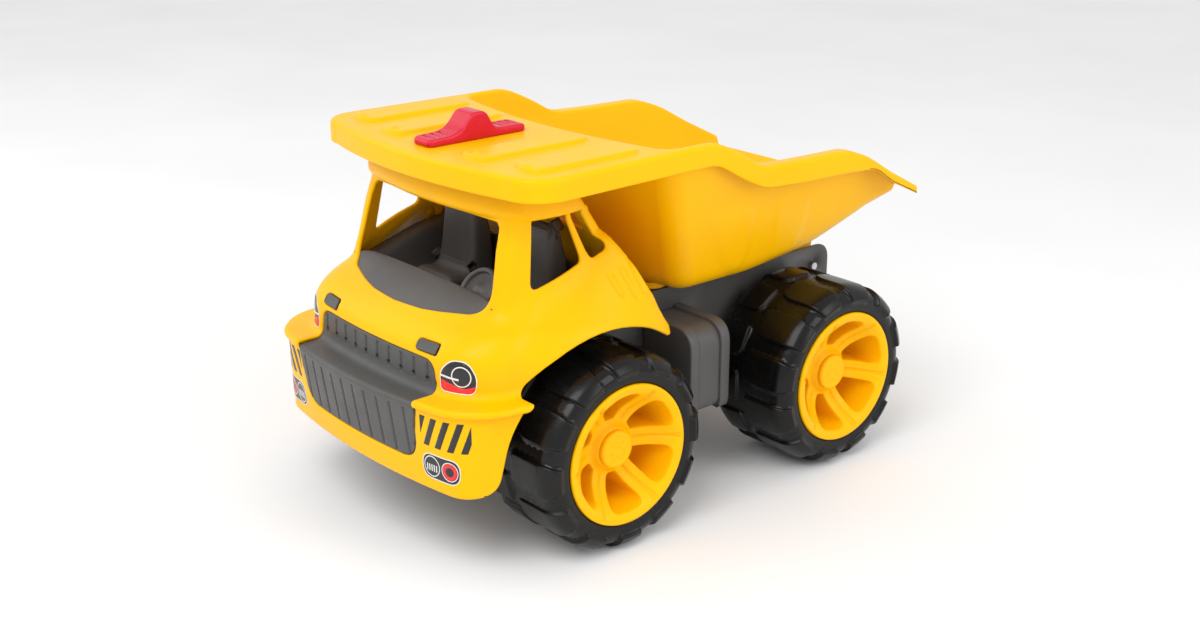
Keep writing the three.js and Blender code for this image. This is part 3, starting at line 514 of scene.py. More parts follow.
THETA = np.linspace(0, math.pi, COLUMNS)
ARCH_Y, ARCH_Z, ARCH_RADIUS = -91.0, 70.0, 86.0
CAB_REAR_ROUND = 5.0


def ring_radius(front, bow, half, half_rear, corner, depth, rear, blur):
    """Distance from the cab's axis to one plan ring, over THETA."""
    bend = half - corner
    t = np.linspace(0, 1, 25)[:-1]
    turn = np.linspace(0, math.pi / 2, 25)
    xs = [bend * t, bend + corner * np.sin(turn)]
    ys = [front + bow * t * t, front + bow + depth * (1 - np.cos(turn))]
    side = np.array([half_rear - half, rear - ys[1][-1]])
    side /= np.linalg.norm(side)
    r = CAB_REAR_ROUND
    start = np.array([half_rear, rear]) - side * r
    corner_at = np.array([half_rear, rear])
    end = np.array([half_rear - r, rear])
    s = np.linspace(0, 1, 9)[:, None]
    turned = (1 - s) ** 2 * start + 2 * s * (1 - s) * corner_at + s * s * end
    xs += [turned[:, 0], np.linspace(half_rear - r, 0, 30)[1:]]
    ys += [turned[:, 1], np.full(29, rear)]
    x, y = np.concatenate(xs), np.concatenate(ys) - CAB_CENTRE_Y
    angle = np.arctan2(x, -y)
    radius = np.interp(THETA, angle, np.hypot(x, y))
    if blur:
        width = int(round(blur / 180.0 * (COLUMNS - 1)))
        kernel = np.exp(-0.5 * (np.arange(-3 * width, 3 * width + 1) / width) ** 2)
        padded = np.pad(radius, 3 * width, mode="reflect")
        radius = np.convolve(padded, kernel / kernel.sum(), mode="valid")
    return radius


def level_ring(levels, z, blur):
    table = np.array(levels, float)
    values = [smooth_curve(table[:, 0], table[:, i], z) for i in range(1, 8)]
    return ring_radius(*[float(v) for v in values], blur)


def smooth_max(a, b, width):
    h = np.clip(0.5 + 0.5 * (a - b) / width, 0, 1)
    return b + (a - b) * h + width * h * (1 - h)


def cab_ring(z):
    body = level_ring(BODY_LEVELS, z, 1.6)
    glass = level_ring(GREENHOUSE_LEVELS, z, 1.0)
    return smooth_max(body, glass, 5.0)


class Surface:
    """Rows of radius and height round the cab's axis, with a length along the rows."""

    def __init__(self):
        self.radius, self.height = [], []

    def row(self, radius, height):
        self.radius.append(radius)
        self.height.append(np.broadcast_to(height, radius.shape).astype(float))

    def close(self):
        self.radius = np.array(self.radius)
        self.height = np.array(self.height)
        step = np.hypot(np.diff(self.radius, axis=0), np.diff(self.height, axis=0))
        self.along = np.concatenate([[0], np.cumsum(step[:, :180].mean(axis=1) + 1e-6)])

    def rows_at(self, s):
        k = np.interp(s, self.along, np.arange(len(self.along)))
        low = np.minimum(k.astype(int), len(self.along) - 2)
        return low, k - low

    def at(self, theta, s):
        theta, s = np.asarray(theta, float), np.asarray(s, float)
        low, t = self.rows_at(s)
        c = theta / math.pi * (COLUMNS - 1)
        left = np.clip(c.astype(int), 0, COLUMNS - 2)
        u = c - left

        def mix(table):
            a = table[low, left] * (1 - u) + table[low, left + 1] * u
            b = table[low + 1, left] * (1 - u) + table[low + 1, left + 1] * u
            return a * (1 - t) + b * t

        r, z = mix(self.radius), mix(self.height)
        x = np.where((theta < 1e-7) | (theta > math.pi - 1e-7), 0.0, r * np.sin(theta))
        return np.stack([x, CAB_CENTRE_Y - r * np.cos(theta), z], axis=-1)

    def row_radius(self, s):
        low, t = self.rows_at(np.array([s]))
        return self.radius[low[0]] * (1 - t[0]) + self.radius[low[0] + 1] * t[0]

    def s_of_z(self, z):
        """Row length at a height on the cab's upper body, where rows are level."""
        first = self.body_first
        heights = self.height[first:self.body_last, 0]
        return np.interp(z, heights, self.along[first:self.body_last])

    def s_of_skirt(self, z):
        return np.interp(z, self.height[: self.skirt_last, 0], self.along[: self.skirt_last])

    def theta_front(self, x, s):
        r = self.row_radius(s)
        xs = r * np.sin(THETA)
        top = int(np.argmax(xs[: COLUMNS * 6 // 10]))
        return float(np.interp(x, xs[: top + 1], THETA[: top + 1]))

    def theta_side(self, y, s):
        r = self.row_radius(s)
        ys = np.maximum.accumulate(CAB_CENTRE_Y - r * np.cos(THETA))
        return float(np.interp(y, ys, THETA))

    def theta_rear(self, x, s):
        r = self.row_radius(s)
        xs = (r * np.sin(THETA))[::-1]
        turn = THETA[::-1]
        top = int(np.argmax(xs))
        return float(np.interp(x, xs[: top + 1], turn[: top + 1]))


ROOF_SLOT = (9.0, -124.0, -95.0)


def slot_radius():
    """The roof slot's rectangle, as a distance from the cab's axis."""
    half, front, rear = ROOF_SLOT
    out = []
    for angle in THETA:
        s, c = math.sin(angle), -math.cos(angle)
        reach = []
        if s > 1e-9:
            reach.append(half / s)
        if c < -1e-9:
            reach.append((front - CAB_CENTRE_Y) / c)
        if c > 1e-9:
            reach.append((rear - CAB_CENTRE_Y) / c)
        out.append(min(reach))
    return np.array(out)


def cab_surface():
    surface = Surface()
    shelf = ring_radius(*SHELF, 1.6)
    lip = (SHELF_TOP - SHELF_LOW) / 2
    for z in np.linspace(60, 114.5, 24):
        surface.row(level_ring(SKIRT_LEVELS, z, 1.6), z)
    surface.skirt_last = len(surface.radius)
    skirt = level_ring(SKIRT_LEVELS, SHELF_LOW, 1.6)
    under = np.maximum(shelf - lip, skirt + 0.6)
    for share, rise in ((0.0, 116.2), (0.25, 116.85), (0.6, 117.0), (1.0, 117.0)):
        surface.row(skirt + (under - skirt) * share, rise)
    for angle in np.linspace(-75, 90, 9):
        a = math.radians(angle)
        surface.row(under + lip * math.cos(a), SHELF_LOW + lip + lip * math.sin(a))
    body = cab_ring(SHELF_TOP)
    fillet = 6.0
    start = body + fillet
    for share in (0.35, 0.7):
        surface.row(under + (start - under) * share, SHELF_TOP)
    for angle in np.linspace(-90, -170, 8):
        a = math.radians(angle)
        z = SHELF_TOP + fillet + fillet * math.sin(a)
        surface.row(cab_ring(z) + fillet + fillet * math.cos(a), z)
    surface.body_first = len(surface.radius) - 1
    for z in np.linspace(129.5, 227.0, 56):
        surface.row(cab_ring(z), z)
    base = cab_ring(227.0)
    roof = level_ring(ROOF_LEVELS, 229, 1.6)
    for share, z in ((0.08, 228.2), (0.3, 228.8), (0.65, 229.0), (0.92, 229.3)):
        surface.row(base + (np.maximum(roof, base) - base) * share, z)
    surface.body_last = len(surface.radius) - 3
    for z in (230.0, 231.5, 234, 238, 242, 246, 248.5, 250.3, 251.4, 252):
        surface.row(level_ring(ROOF_LEVELS, z, 1.6), z)
    top = level_ring(ROOF_LEVELS, 252, 1.6)
    slot = slot_radius()
    for share in np.linspace(0.06, 1.0, 16):
        surface.row(top + (slot - top) * share, 252 + 0.9 * min(1.0, share * 2.0))
    surface.close()
    return surface


CAB = cab_surface()

# ------------------------------------------------------------------ cab shell


def domain(theta, s):
    return np.array([theta * -CAB_CENTRE_Y, s])


def front_line(points, s_of):
    """Domain points of a line in (x, z) on the front."""
    out = []
    for x, z in points:
        s = float(s_of(z))
        out.append(domain(CAB.theta_front(x, s) if x > 1e-6 else 0.0, s))
    return out


def side_line(points, s_of=None):
    out = []
    for y, z in points:
        s = float((s_of or CAB.s_of_z)(z))
        out.append(domain(CAB.theta_side(y, s), s))
    return out


def rear_line(points):
    out = []
    for x, z in points:
        s = float(CAB.s_of_z(z))
        out.append(domain(CAB.theta_rear(x, s) if x > 1e-6 else math.pi, s))
    return out


def to_surface(points):
    theta = points[:, 0] / -CAB_CENTRE_Y
    theta = np.where(theta < 1e-6, 0.0, np.where(theta > math.pi - 1e-5, math.pi, theta))
    return CAB.at(theta, points[:, 1])


SIDE_WINDOW = [(-135, 183.5, 6), (-93.3, 197, 5), (-102.5, 236.5, 5), (-127, 236.5, 7)]
QUARTER_WINDOW = [(-86.3, 197.5, 2.5), (-72, 203, 6), (-89, 236.5, 5), (-98.3, 236.5, 2.5)]
GRILLE_TOP_HALF, GRILLE_TOP, GRILLE_BOTTOM_HALF, GRILLE_BOTTOM, LEDGE_HALF = 69, 143, 66, 78, 71.5


def grille_edge(grow):
    """The grille's edge from the bottom middle to the top middle, as domain points."""
    bottom, top = GRILLE_BOTTOM - grow, GRILLE_TOP + grow
    half = GRILLE_BOTTOM_HALF + grow
    r = 14.0
    corner = rounded([(0, bottom), (half, bottom, r), (LEDGE_HALF + grow - 0.6, 114.4)], 8)[1:-1]
    line = [(0, bottom), (25, bottom), *map(tuple, corner), (half + 2.0, 100.0), (half + 3.6, 110.0)]
    low = front_line(line, CAB.s_of_skirt)
    ledge = []
    first = float(CAB.s_of_skirt(114.4))
    last = float(CAB.s_of_z(129.6))
    for s in np.linspace(first, last, 16):
        share = (s - first) / (last - first)
        x = LEDGE_HALF + grow - 0.8 - 1.6 * max(0.0, share - 0.6)
        ledge.append(domain(CAB.theta_front(x, s), s))
    r = 12.0
    half = GRILLE_TOP_HALF + grow
    corner = rounded([(half, 125.0), (half, top, r), (0, top)], 8)[1:-1]
    high = front_line([*map(tuple, corner), (25, top), (0, top)], CAB.s_of_z)
    return low + ledge + high


def lamp_outline(grow):
    x, z, w, h = 58.6, 150.2, 9.9 + grow, 3.3 + grow
    return rounded([(x - w, z - h, 2), (x + w, z - h, 2), (x + w, z + h, 2), (x - w, z + h, 2)], 4)


def arch_points(zs, sign):
    return [(ARCH_Y + sign * math.sqrt(max(ARCH_RADIUS**2 - (z - ARCH_Z) ** 2, 0.0)), z) for z in zs]


def cab_outline():
    end = float(CAB.along[-1])
    edge = []
    # bottom of the skirt, up to its rounded rear corner
    bottom_corner = rounded([(-213, 60), (-180.6, 60, 13), (-176.8, 80)], 8)[1:-1]
    edge += [domain(CAB.theta_front(x, 0.0), 0.0) for x in (0, 30, 60, 85, 100)]
    edge += side_line(bottom_corner, CAB.s_of_skirt)
    edge += side_line(arch_points([84, 90, 96, 102, 108, 113.5], -1), CAB.s_of_skirt)
    # round the shelf's rear end
    first, last = float(CAB.s_of_skirt(114)), float(CAB.s_of_z(129.5))
    for s in np.linspace(first, last, 14)[1:-1]:
        z = float(CAB.at(1.3, s)[2])
        y = arch_points([z], -1)[0][0]
        edge.append(domain(CAB.theta_side(y, s), s))
    edge += side_line(arch_points([129.5, 134, 139, 144, 148, 151.5, 154, 155.5], -1))
    edge += side_line([(ARCH_Y, ARCH_Z + ARCH_RADIUS)])
    edge += side_line(arch_points([155.5, 154, 151.5, 148, 144, 140.5], 1))
    tip = rounded([(-42, 141.5), (-36.5, 137.0, 3.0), (-31.5, 137.6)], 4)[1:-1]
    edge += side_line(tip)
    edge += rear_line([(117, 137.6), (112, 137.8), (59, 137.8), (59, 144.6), (30, 144.6), (0, 144.6)])
    rear_low, rear_high = 208.0, 235.0
    window = rounded([(0, rear_low), (68, rear_low, 7), (66, rear_high, 7), (0, rear_high)], 6)
    edge += rear_line(window)
    edge += [domain(math.pi, end), domain(0.0, end)]
    screen = [(0, 227.2), (40, 227.2), (70.5, 227.0), (73.4, 224.5), (75.4, 210.0), (78.3, 188.0)]
    lower = rounded([(78.5, 188), (79.6, 169.6, 15), (0, 164.2)], 10)[1:-1]
    lower = [tuple(p) for p in lower] + [(45, 166.6), (30, 165.4), (0, 164.7)]
    edge += front_line(screen + lower, CAB.s_of_z)
    edge += grille_edge(0.35)[::-1]
    return np.array(edge)


CLOSEST = 0.35


def cleaned(line):
    """A closed line without points that all but touch."""
    out = [line[0]]
    for p in line[1:]:
        if np.linalg.norm(p - out[-1]) > CLOSEST:
            out.append(p)
    if np.linalg.norm(out[0] - out[-1]) <= CLOSEST:
        out.pop()
    return np.array(out)


VENTS = [((-74.3, 174.8), (-78, 185.8)), ((-62.7, 170.9), (-68.1, 188.7)), ((-54.7, 173), (-59.5, 191.8))]


def capsule(points, start, end):
    a, b = np.array(start, float), np.array(end, float)
    t = np.clip(((points - a) @ (b - a)) / ((b - a) @ (b - a)), 0, 1)
    return np.linalg.norm(points - a - t[:, None] * (b - a), axis=1)


def cab_shell():
    outer = resampled(cleaned(cab_outline()), 2.4)
    holes = [
        resampled(cleaned(np.array(side_line(rounded(SIDE_WINDOW)))), 2.2),
        resampled(cleaned(np.array(side_line(rounded(QUARTER_WINDOW)))), 2.0),
        resampled(cleaned(np.array(front_line(lamp_outline(0.3), CAB.s_of_z))), 1.5),
    ]
    extra = side_line([(y, z) for y in np.arange(-82, -50, 1.1) for z in np.arange(167, 196, 1.1)])
    shelf_s = [float(CAB.s_of_skirt(113)), float(CAB.s_of_z(129))]
    for s in np.arange(shelf_s[0], shelf_s[1], 0.8):
        for a in np.arange(1.0, 215.0, 2.6):
            extra.append(np.array([a, s]))
    points, tris = filled(outer, holes, grid=3.0, clear=1.7, extra=extra)
    verts = to_surface(points)
    verts, tris = weld(verts, tris, 1e-3)
    turned = vertex_normals(verts, tris)
    # The vents are shallow slanted slots in the side panel
    press = np.zeros(len(verts))
    for start, end in VENTS:
        d = capsule(verts[:, 1:], start, end)
        press = np.maximum(press, np.clip((2.7 - d) / 1.2, 0, 1))
    press *= (verts[:, 0] > 90) & (verts[:, 2] < 200)
    verts = verts - turned * (press * 1.1)[:, None]
    full, faces = mirrored(verts, tris)
    shelf_rows = (full[:, 2] > 114) & (full[:, 2] < 127) & (full[:, 1] < -150)
    wall = np.where(shelf_rows, 2.2, 3.0)
    return thick_sheet(full, faces, wall)


add_piece("cab", *cab_shell(), YELLOW, "chassis", "yellow_plastic", ["cab_shell"])

# ------------------------------------------------------------------ load bed

# Height, front, bow, half width and corner radius of the tub's outside, extended below its floor
TUB_LEVELS = np.array(
    [
        (130, 5.5, 8, 78.2, 18),
        (157, -6, 8, 87, 18),
        (206, -27, 9, 103, 18),
        (242, -42, 10, 113, 18),
        (290, -62, 12, 122, 18),
    ],
    float,
)
RIM_LINE = np.array(
    [
        (-60, 266), (2, 266), (12, 263), (32, 253), (46, 244), (56, 241.5), (92, 240),
        (141, 239), (163, 231), (190, 215), (221.5, 198.5),
    ],
    float,
)
FLANGE_LINE = np.array(
    [
        (-60, 250), (6, 250), (32, 235), (53, 225.5), (92, 223), (139, 222), (171, 220),
        (190, 207), (221.5, 192.5),
    ],
    float,
)
FLOOR_LINE = np.array([(-60, 147), (82, 147), (134, 154), (150, 158), (188, 173), (221.5, 188.5)], float)
BED_WALL = 3.0
TAIL_Y = 221.5
BED_HALF = 122.0
CANOPY = {"front": -170.0, "bow": 12.0, "half": 125.0, "corner": 26.0, "side": -30.0}
RIBS = [(95.0, -141.0, -50.0), (48.0, -149.0, -54.0)]
RIB_HALF, RIB_CORNER, RIB_RISE, RIB_SLOPE = 14.0, 12.0, 2.5, 2.0
STUDS = [(95.3, -136.7), (47.6, -142.4)]
LATCH_NOTCH = (4.3, -125.5, -106.5)
# Faint panels on the tub's sides, as outlines in (y, z)
SIDE_PANELS = [
    [(16, 208, 4), (44, 168, 6), (53, 156.5, 6), (65, 156.5, 6), (68.5, 173, 6), (60, 208, 4)],
    [(85, 208, 4), (91.5, 167, 5), (97.5, 157.5, 5), (118, 160.5, 5), (124, 172, 5), (120, 208, 4)],
]
PANEL_RISE, PANEL_SLOPE = 0.8, 1.2


def blurred(line, width=4.0):
    """A polyline in (y, z) with its corners rounded off, as a table with a point per millimetre."""
    y = np.arange(line[0, 0] - 30, line[-1, 0] + 30)
    z = np.interp(y, line[:, 0], line[:, 1])
    slope = (line[-1, 1] - line[-2, 1]) / (line[-1, 0] - line[-2, 0])
    z = np.where(y > line[-1, 0], line[-1, 1] + slope * (y - line[-1, 0]), z)
    reach = int(3 * width)
    kernel = np.exp(-0.5 * (np.arange(-reach, reach + 1) / width) ** 2)
    z = np.convolve(np.pad(z, reach, mode="edge"), kernel / kernel.sum(), mode="valid")
    return y, z


RIM_TABLE = blurred(RIM_LINE)
FLANGE_TABLE = blurred(FLANGE_LINE)
FLOOR_TABLE = blurred(FLOOR_LINE, width=7.0)
rim_z = lambda y: np.interp(y, *RIM_TABLE)
flange_z = lambda y: np.interp(y, *FLANGE_TABLE)
floor_z = lambda y: np.interp(y, *FLOOR_TABLE) + BED_WALL


def tub_columns():
    """Round the tub's plan, (kind, share): along the front, round the corner, along the side."""
    front = [("front", t) for t in np.linspace(0, 1, 27)]
    corner = [("corner", t) for t in np.linspace(0, 1, 13)[1:]]
    side = [("side", t) for t in np.linspace(0, 1, 84)[1:]]
    return front + corner + side


def tub_point(column, z):
    """The tub's inner face at a height, and the way out from it in plan."""
    kind, t = column
    front, bow, half, corner = (float(np.interp(z, TUB_LEVELS[:, 0], TUB_LEVELS[:, i])) for i in (1, 2, 3, 4))
    front, half, corner = front + BED_WALL, half - BED_WALL, corner - BED_WALL
    bend = half - corner
    if kind == "front":
        return np.array([bend * t, front + bow * t * t]), np.array([0.0, -1.0])
    if kind == "corner":
        a = math.pi / 2 * t
        place = np.array([bend + corner * math.sin(a), front + bow + corner * (1 - math.cos(a))])
        return place, np.array([math.sin(a), -math.cos(a)])
    start = front + bow + corner
    return np.array([half, start + (TAIL_Y - start) * t]), np.array([1.0, 0.0])


def settled(column, height, z):
    """The height where a column meets a surface that depends on y."""
    for _ in range(12):
        place, _out = tub_point(column, z)
        z = float(height(place[1]))
    return z


def curve(a, b, c, steps):
    """Points of a quadratic bend from a round b to c, without its first point."""
    return [(1 - t) ** 2 * a + 2 * t * (1 - t) * b + t * t * c for t in np.linspace(0, 1, steps + 1)[1:]]


def at3(place, z):
    return np.array([place[0], place[1], z])


def tub_column(column):
    """One line down the tub's inside, from the rim's flat top to the floor's flat."""
    top = settled(column, rim_z, 250.0)
    low = settled(column, floor_z, 160.0)
    room = top - low
    turn = min(2.5, room * 0.3)
    fillet = min(13.0, room * 0.4)
    edge, out = tub_point(column, top)
    start = edge + out * turn
    points = [at3(start, float(rim_z(start[1])))]
    below = at3(tub_point(column, top - turn)[0], top - turn)
    points += curve(points[0], at3(edge, float(rim_z(edge[1]))), below, 5)
    wall = np.linspace(top - turn, low + fillet, 24)
    points += [at3(tub_point(column, z)[0], z) for z in wall[1:]]
    foot, out = tub_point(column, low)
    inner = foot - out * fillet
    points += curve(points[-1], at3(foot, float(floor_z(foot[1]))), at3(inner, float(floor_z(inner[1]))), 8)
    return np.array(points)


def canopy_outline():
    """Points and outward directions round the bed's outer edge, from the front middle to the tail."""
    front, bow, half, corner = (CANOPY[k] for k in ("front", "bow", "half", "corner"))
    bend = half - corner
    out = []
    for t in np.linspace(0, 1, 31):
        out.append(((bend * t, front + bow * t * t), (0.0, -1.0)))
    for a in np.linspace(0, math.pi / 2, 15)[1:]:
        place = (bend + corner * math.sin(a), front + bow + corner * (1 - math.cos(a)))
        out.append((place, (math.sin(a), -math.cos(a))))
    start = front + bow + corner
    for y in np.linspace(start, TAIL_Y, 120)[1:]:
        share = min(1.0, (y - start) / (CANOPY["side"] - start))
        out.append(((half + (BED_HALF - half) * share, y), (1.0, 0.0)))
    return out


def flange_column(place, out):
    place, out = np.array(place), np.array(out)
    top, low = float(rim_z(place[1])), float(flange_z(place[1]))
    turn = min(4.0, (top - low) * 0.5)
    start = place - out * turn
    points = [at3(start, float(rim_z(start[1])))]
    points += curve(points[0], at3(place, top), at3(place, top - turn), 6)
    points += [at3(place, z) for z in np.linspace(top - turn, low, 6)[1:]]
    return np.array(points)


def lattice(columns):
    """Triangles over columns of points, all of one length."""
    count = len(columns[0])
    verts = np.vstack(columns)
    i, j = np.meshgrid(np.arange(len(columns) - 1), np.arange(count - 1), indexing="ij")
    a = (i * count + j).ravel()
    b, c, d = a + 1, a + count, a + count + 1
    return verts, np.vstack([np.stack([a, c, b], 1), np.stack([b, c, d], 1)])


def joined(parts):
    verts, tris, start = [], [], 0
    for v, t in parts:
        verts.append(v)
        tris.append(t + start)
        start += len(v)
    return np.vstack(verts), np.vstack(tris)


def rib_outline(x, front, rear, inset):
    r = RIB_CORNER - inset
    x0, x1 = x - RIB_HALF + inset, x + RIB_HALF - inset
    y0, y1 = front + inset, rear - inset
    line = rounded([(x0, y0, r), (x1, y0, r), (x1, y1, r), (x0, y1, r)], 8)
    return resampled(line, 3.0)


def load_bed():
    tub = [tub_column(c) for c in tub_columns()]
    flange = [flange_column(*p) for p in canopy_outline()]
    wall = lattice(tub)
    skirt = lattice([c[::-1] for c in flange])
    # The flat top: canopy and rim
    inner = [c[0][:2] for c in tub]
    outer = [c[0][:2] for c in flange]
    half, front, rear = LATCH_NOTCH
    notch = [(0, rear), (half, rear), (half, front), (0, front)]
    spine = resampled([inner[0], notch[0]], 3.0, closed=False)[1:-1].tolist()
    spine += [list(p) for p in notch]
    spine += resampled([notch[-1], outer[0]], 3.0, closed=False)[1:-1].tolist()
    edge = np.array(spine + [list(p) for p in outer] + [list(p) for p in inner[::-1]])
    lines = []
    for rib in RIBS:
        for inset in (0.0, 0.5, 1.0, 1.5, 2.0):
            lines.append(closed(rib_outline(*rib, inset)))
    near = np.arange(-3, 3.1, 0.75)
    extra = [(x + dx, y + dy) for x, y in STUDS for dx in near for dy in near]
    flat, tris = filled(edge, grid=3.2, clear=1.0, extra=extra, lines=lines)
    rise = np.zeros(len(flat))
    for x, rib_front, rib_rear in RIBS:
        outline = rib_outline(x, rib_front, rib_rear, 0.0)
        depth = distance_to(flat, outline) * inside(flat, outline)
        t = np.clip(depth / RIB_SLOPE, 0, 1)
        rise = np.maximum(rise, RIB_RISE * (1 - (1 - t) ** 2) ** 0.8)
    for x, y in STUDS:
        rise += 1.2 * np.exp(-(((flat[:, 0] - x) ** 2 + (flat[:, 1] - y) ** 2) / 5.0) ** 2)
    x = np.where(np.abs(flat[:, 0]) < 1e-6, 0.0, flat[:, 0])
    top = (np.stack([x, flat[:, 1], rim_z(flat[:, 1]) + rise], axis=1), tris)
    # The floor
    foot = [c[-1][:2] for c in tub]
    end = (0.0, TAIL_Y)
    tail = resampled([foot[-1], end], 4.0, closed=False)[1:-1].tolist()
    middle = resampled([end, foot[0]], 4.0, closed=False)[:-1].tolist()
    edge = np.array([list(p) for p in foot] + tail + middle)
    flat, tris = filled(edge, grid=4.5, clear=2.0)
    x = np.where(np.abs(flat[:, 0]) < 1e-6, 0.0, flat[:, 0])
    base = (np.stack([x, flat[:, 1], floor_z(flat[:, 1])], axis=1), tris)
    verts, tris = joined([wall, skirt, top, base])
    return mirrored(*weld(verts, tris, 2e-3))


def consistent(verts, tris):
    """Turns each triangle so that neighbours agree, starting from one that faces up."""
    neighbours = {}
    for i, tri in enumerate(tris.tolist()):
        for a, b in ((0, 1), (1, 2), (2, 0)):
            key = (min(tri[a], tri[b]), max(tri[a], tri[b]))
            neighbours.setdefault(key, []).append(i)
    tris = tris.copy()
    normal = np.cross(verts[tris[:, 1]] - verts[tris[:, 0]], verts[tris[:, 2]] - verts[tris[:, 0]])
    seed = int(np.argmax(np.abs(normal[:, 2])))
    if normal[seed, 2] < 0:
        tris[seed] = tris[seed][::-1]
    done = np.zeros(len(tris), bool)
    done[seed] = True
    stack = [seed]
    while stack:
        i = stack.pop()
        tri = tris[i].tolist()
        for a, b in ((0, 1), (1, 2), (2, 0)):
            key = (min(tri[a], tri[b]), max(tri[a], tri[b]))
            for j in neighbours[key]:
                if done[j]:
                    continue
                other = tris[j].tolist()
                directed = [(other[0], other[1]), (other[1], other[2]), (other[2], other[0])]
                if (tri[a], tri[b]) in directed:
                    tris[j] = tris[j][::-1]
                done[j] = True
                stack.append(j)
    return tris


def bed_thickness(verts):
    """The wall, with the side panels standing out a little."""
    wall = np.full(len(verts), BED_WALL)
    across, spots = np.abs(verts[:, 0]), verts[:, 1:]
    on_side = (across > 78) & (across < 112) & (verts[:, 2] < 212)
    for corners in SIDE_PANELS:
        outline = rounded(corners, 6)
        rise = np.clip(distance_to(spots, outline) / PANEL_SLOPE, 0, 1)
        wall += PANEL_RISE * rise * inside(spots, outline) * on_side
    return wall


bed_verts, bed_tris = load_bed()
bed_tris = consistent(bed_verts, bed_tris)
bed_solid = thick_sheet(bed_verts, bed_tris, bed_thickness(bed_verts))
add_piece("load_bed", *bed_solid, YELLOW, "bed", "yellow_plastic", ["dump_bed"])

# ------------------------------------------------------------------ wheels

AXLES = {"front": -89.0, "rear": 127.5}
AXLE_Z = 70.0
LUG_PITCH = math.tau / 12
TREAD_R = 67.4
LUG_HEIGHT = 2.6
SPOKE_TURN = {"front": 2.0, "rear": -12.0}
RING_STEPS = 144


def bent(corners, steps=5):
    """An open line from [u, v, radius] corners."""
    out = [np.array(corners[0][:2], float)]
    for before, corner, after in zip(corners, corners[1:], corners[2:]):
        here = np.array(corner[:2], float)
        back = np.array(before[:2], float) - here
        ahead = np.array(after[:2], float) - here
        radius = corner[2]
        start = here + back / np.linalg.norm(back) * radius
        end = here + ahead / np.linalg.norm(ahead) * radius
        for t in np.linspace(0, 1, steps + 1):
            out.append((1 - t) ** 2 * start + 2 * t * (1 - t) * here + t * t * end)
    out.append(np.array(corners[-1][:2], float))
    return np.array(out)


def unit(vectors):
    return vectors / np.maximum(np.linalg.norm(vectors, axis=-1, keepdims=True), 1e-9)


def turned_rings(line, steps):
    """Rings about the x axis, one after the other, from (radius, x) points."""
    ring = math.tau * np.arange(steps) / steps
    return [np.stack([np.full(steps, x), r * np.cos(ring), r * np.sin(ring)], axis=1) for r, x in line]


def inset_loop(loop, depth):
    """A closed loop moved inwards along its own normals."""
    along = unit(unit(np.roll(loop, -1, axis=0) - loop) + unit(loop - np.roll(loop, 1, axis=0)))
    area = np.sum(loop[:, 0] * np.roll(loop[:, 1], -1) - loop[:, 1] * np.roll(loop[:, 0], -1))
    inwards = np.stack([-along[:, 1], along[:, 0]], axis=1) * np.sign(area)
    return loop + inwards * depth


TYRE_LINE = bent(
    [
        (138.2, 50.3), (139.3, 56.0, 3.0), (137.6, 62.8, 4.0), (130.0, TREAD_R, 5.0),
        (72.0, TREAD_R, 5.0), (65.0, 62.8, 4.0), (64.0, 56.0, 3.0), (64.6, 50.3),
    ]
)
TYRE_S = np.concatenate([[0], np.cumsum(np.linalg.norm(np.diff(TYRE_LINE, axis=0), axis=1))])


def tyre_place(s):
    """Position (x, radius) and outward direction along the tyre's section."""
    x = np.interp(s, TYRE_S, TYRE_LINE[:, 0])
    r = np.interp(s, TYRE_S, TYRE_LINE[:, 1])
    dx = np.interp(s + 1.0, TYRE_S, TYRE_LINE[:, 0]) - np.interp(s - 1.0, TYRE_S, TYRE_LINE[:, 0])
    dr = np.interp(s + 1.0, TYRE_S, TYRE_LINE[:, 1]) - np.interp(s - 1.0, TYRE_S, TYRE_LINE[:, 1])
    size = np.hypot(dx, dr)
    return x, r, dr / size, -dx / size


def s_at_x(x):
    flat = (TYRE_LINE[:, 1] > TREAD_R - 0.01)
    return float(np.interp(-x, -TYRE_LINE[flat, 0], TYRE_S[flat]))


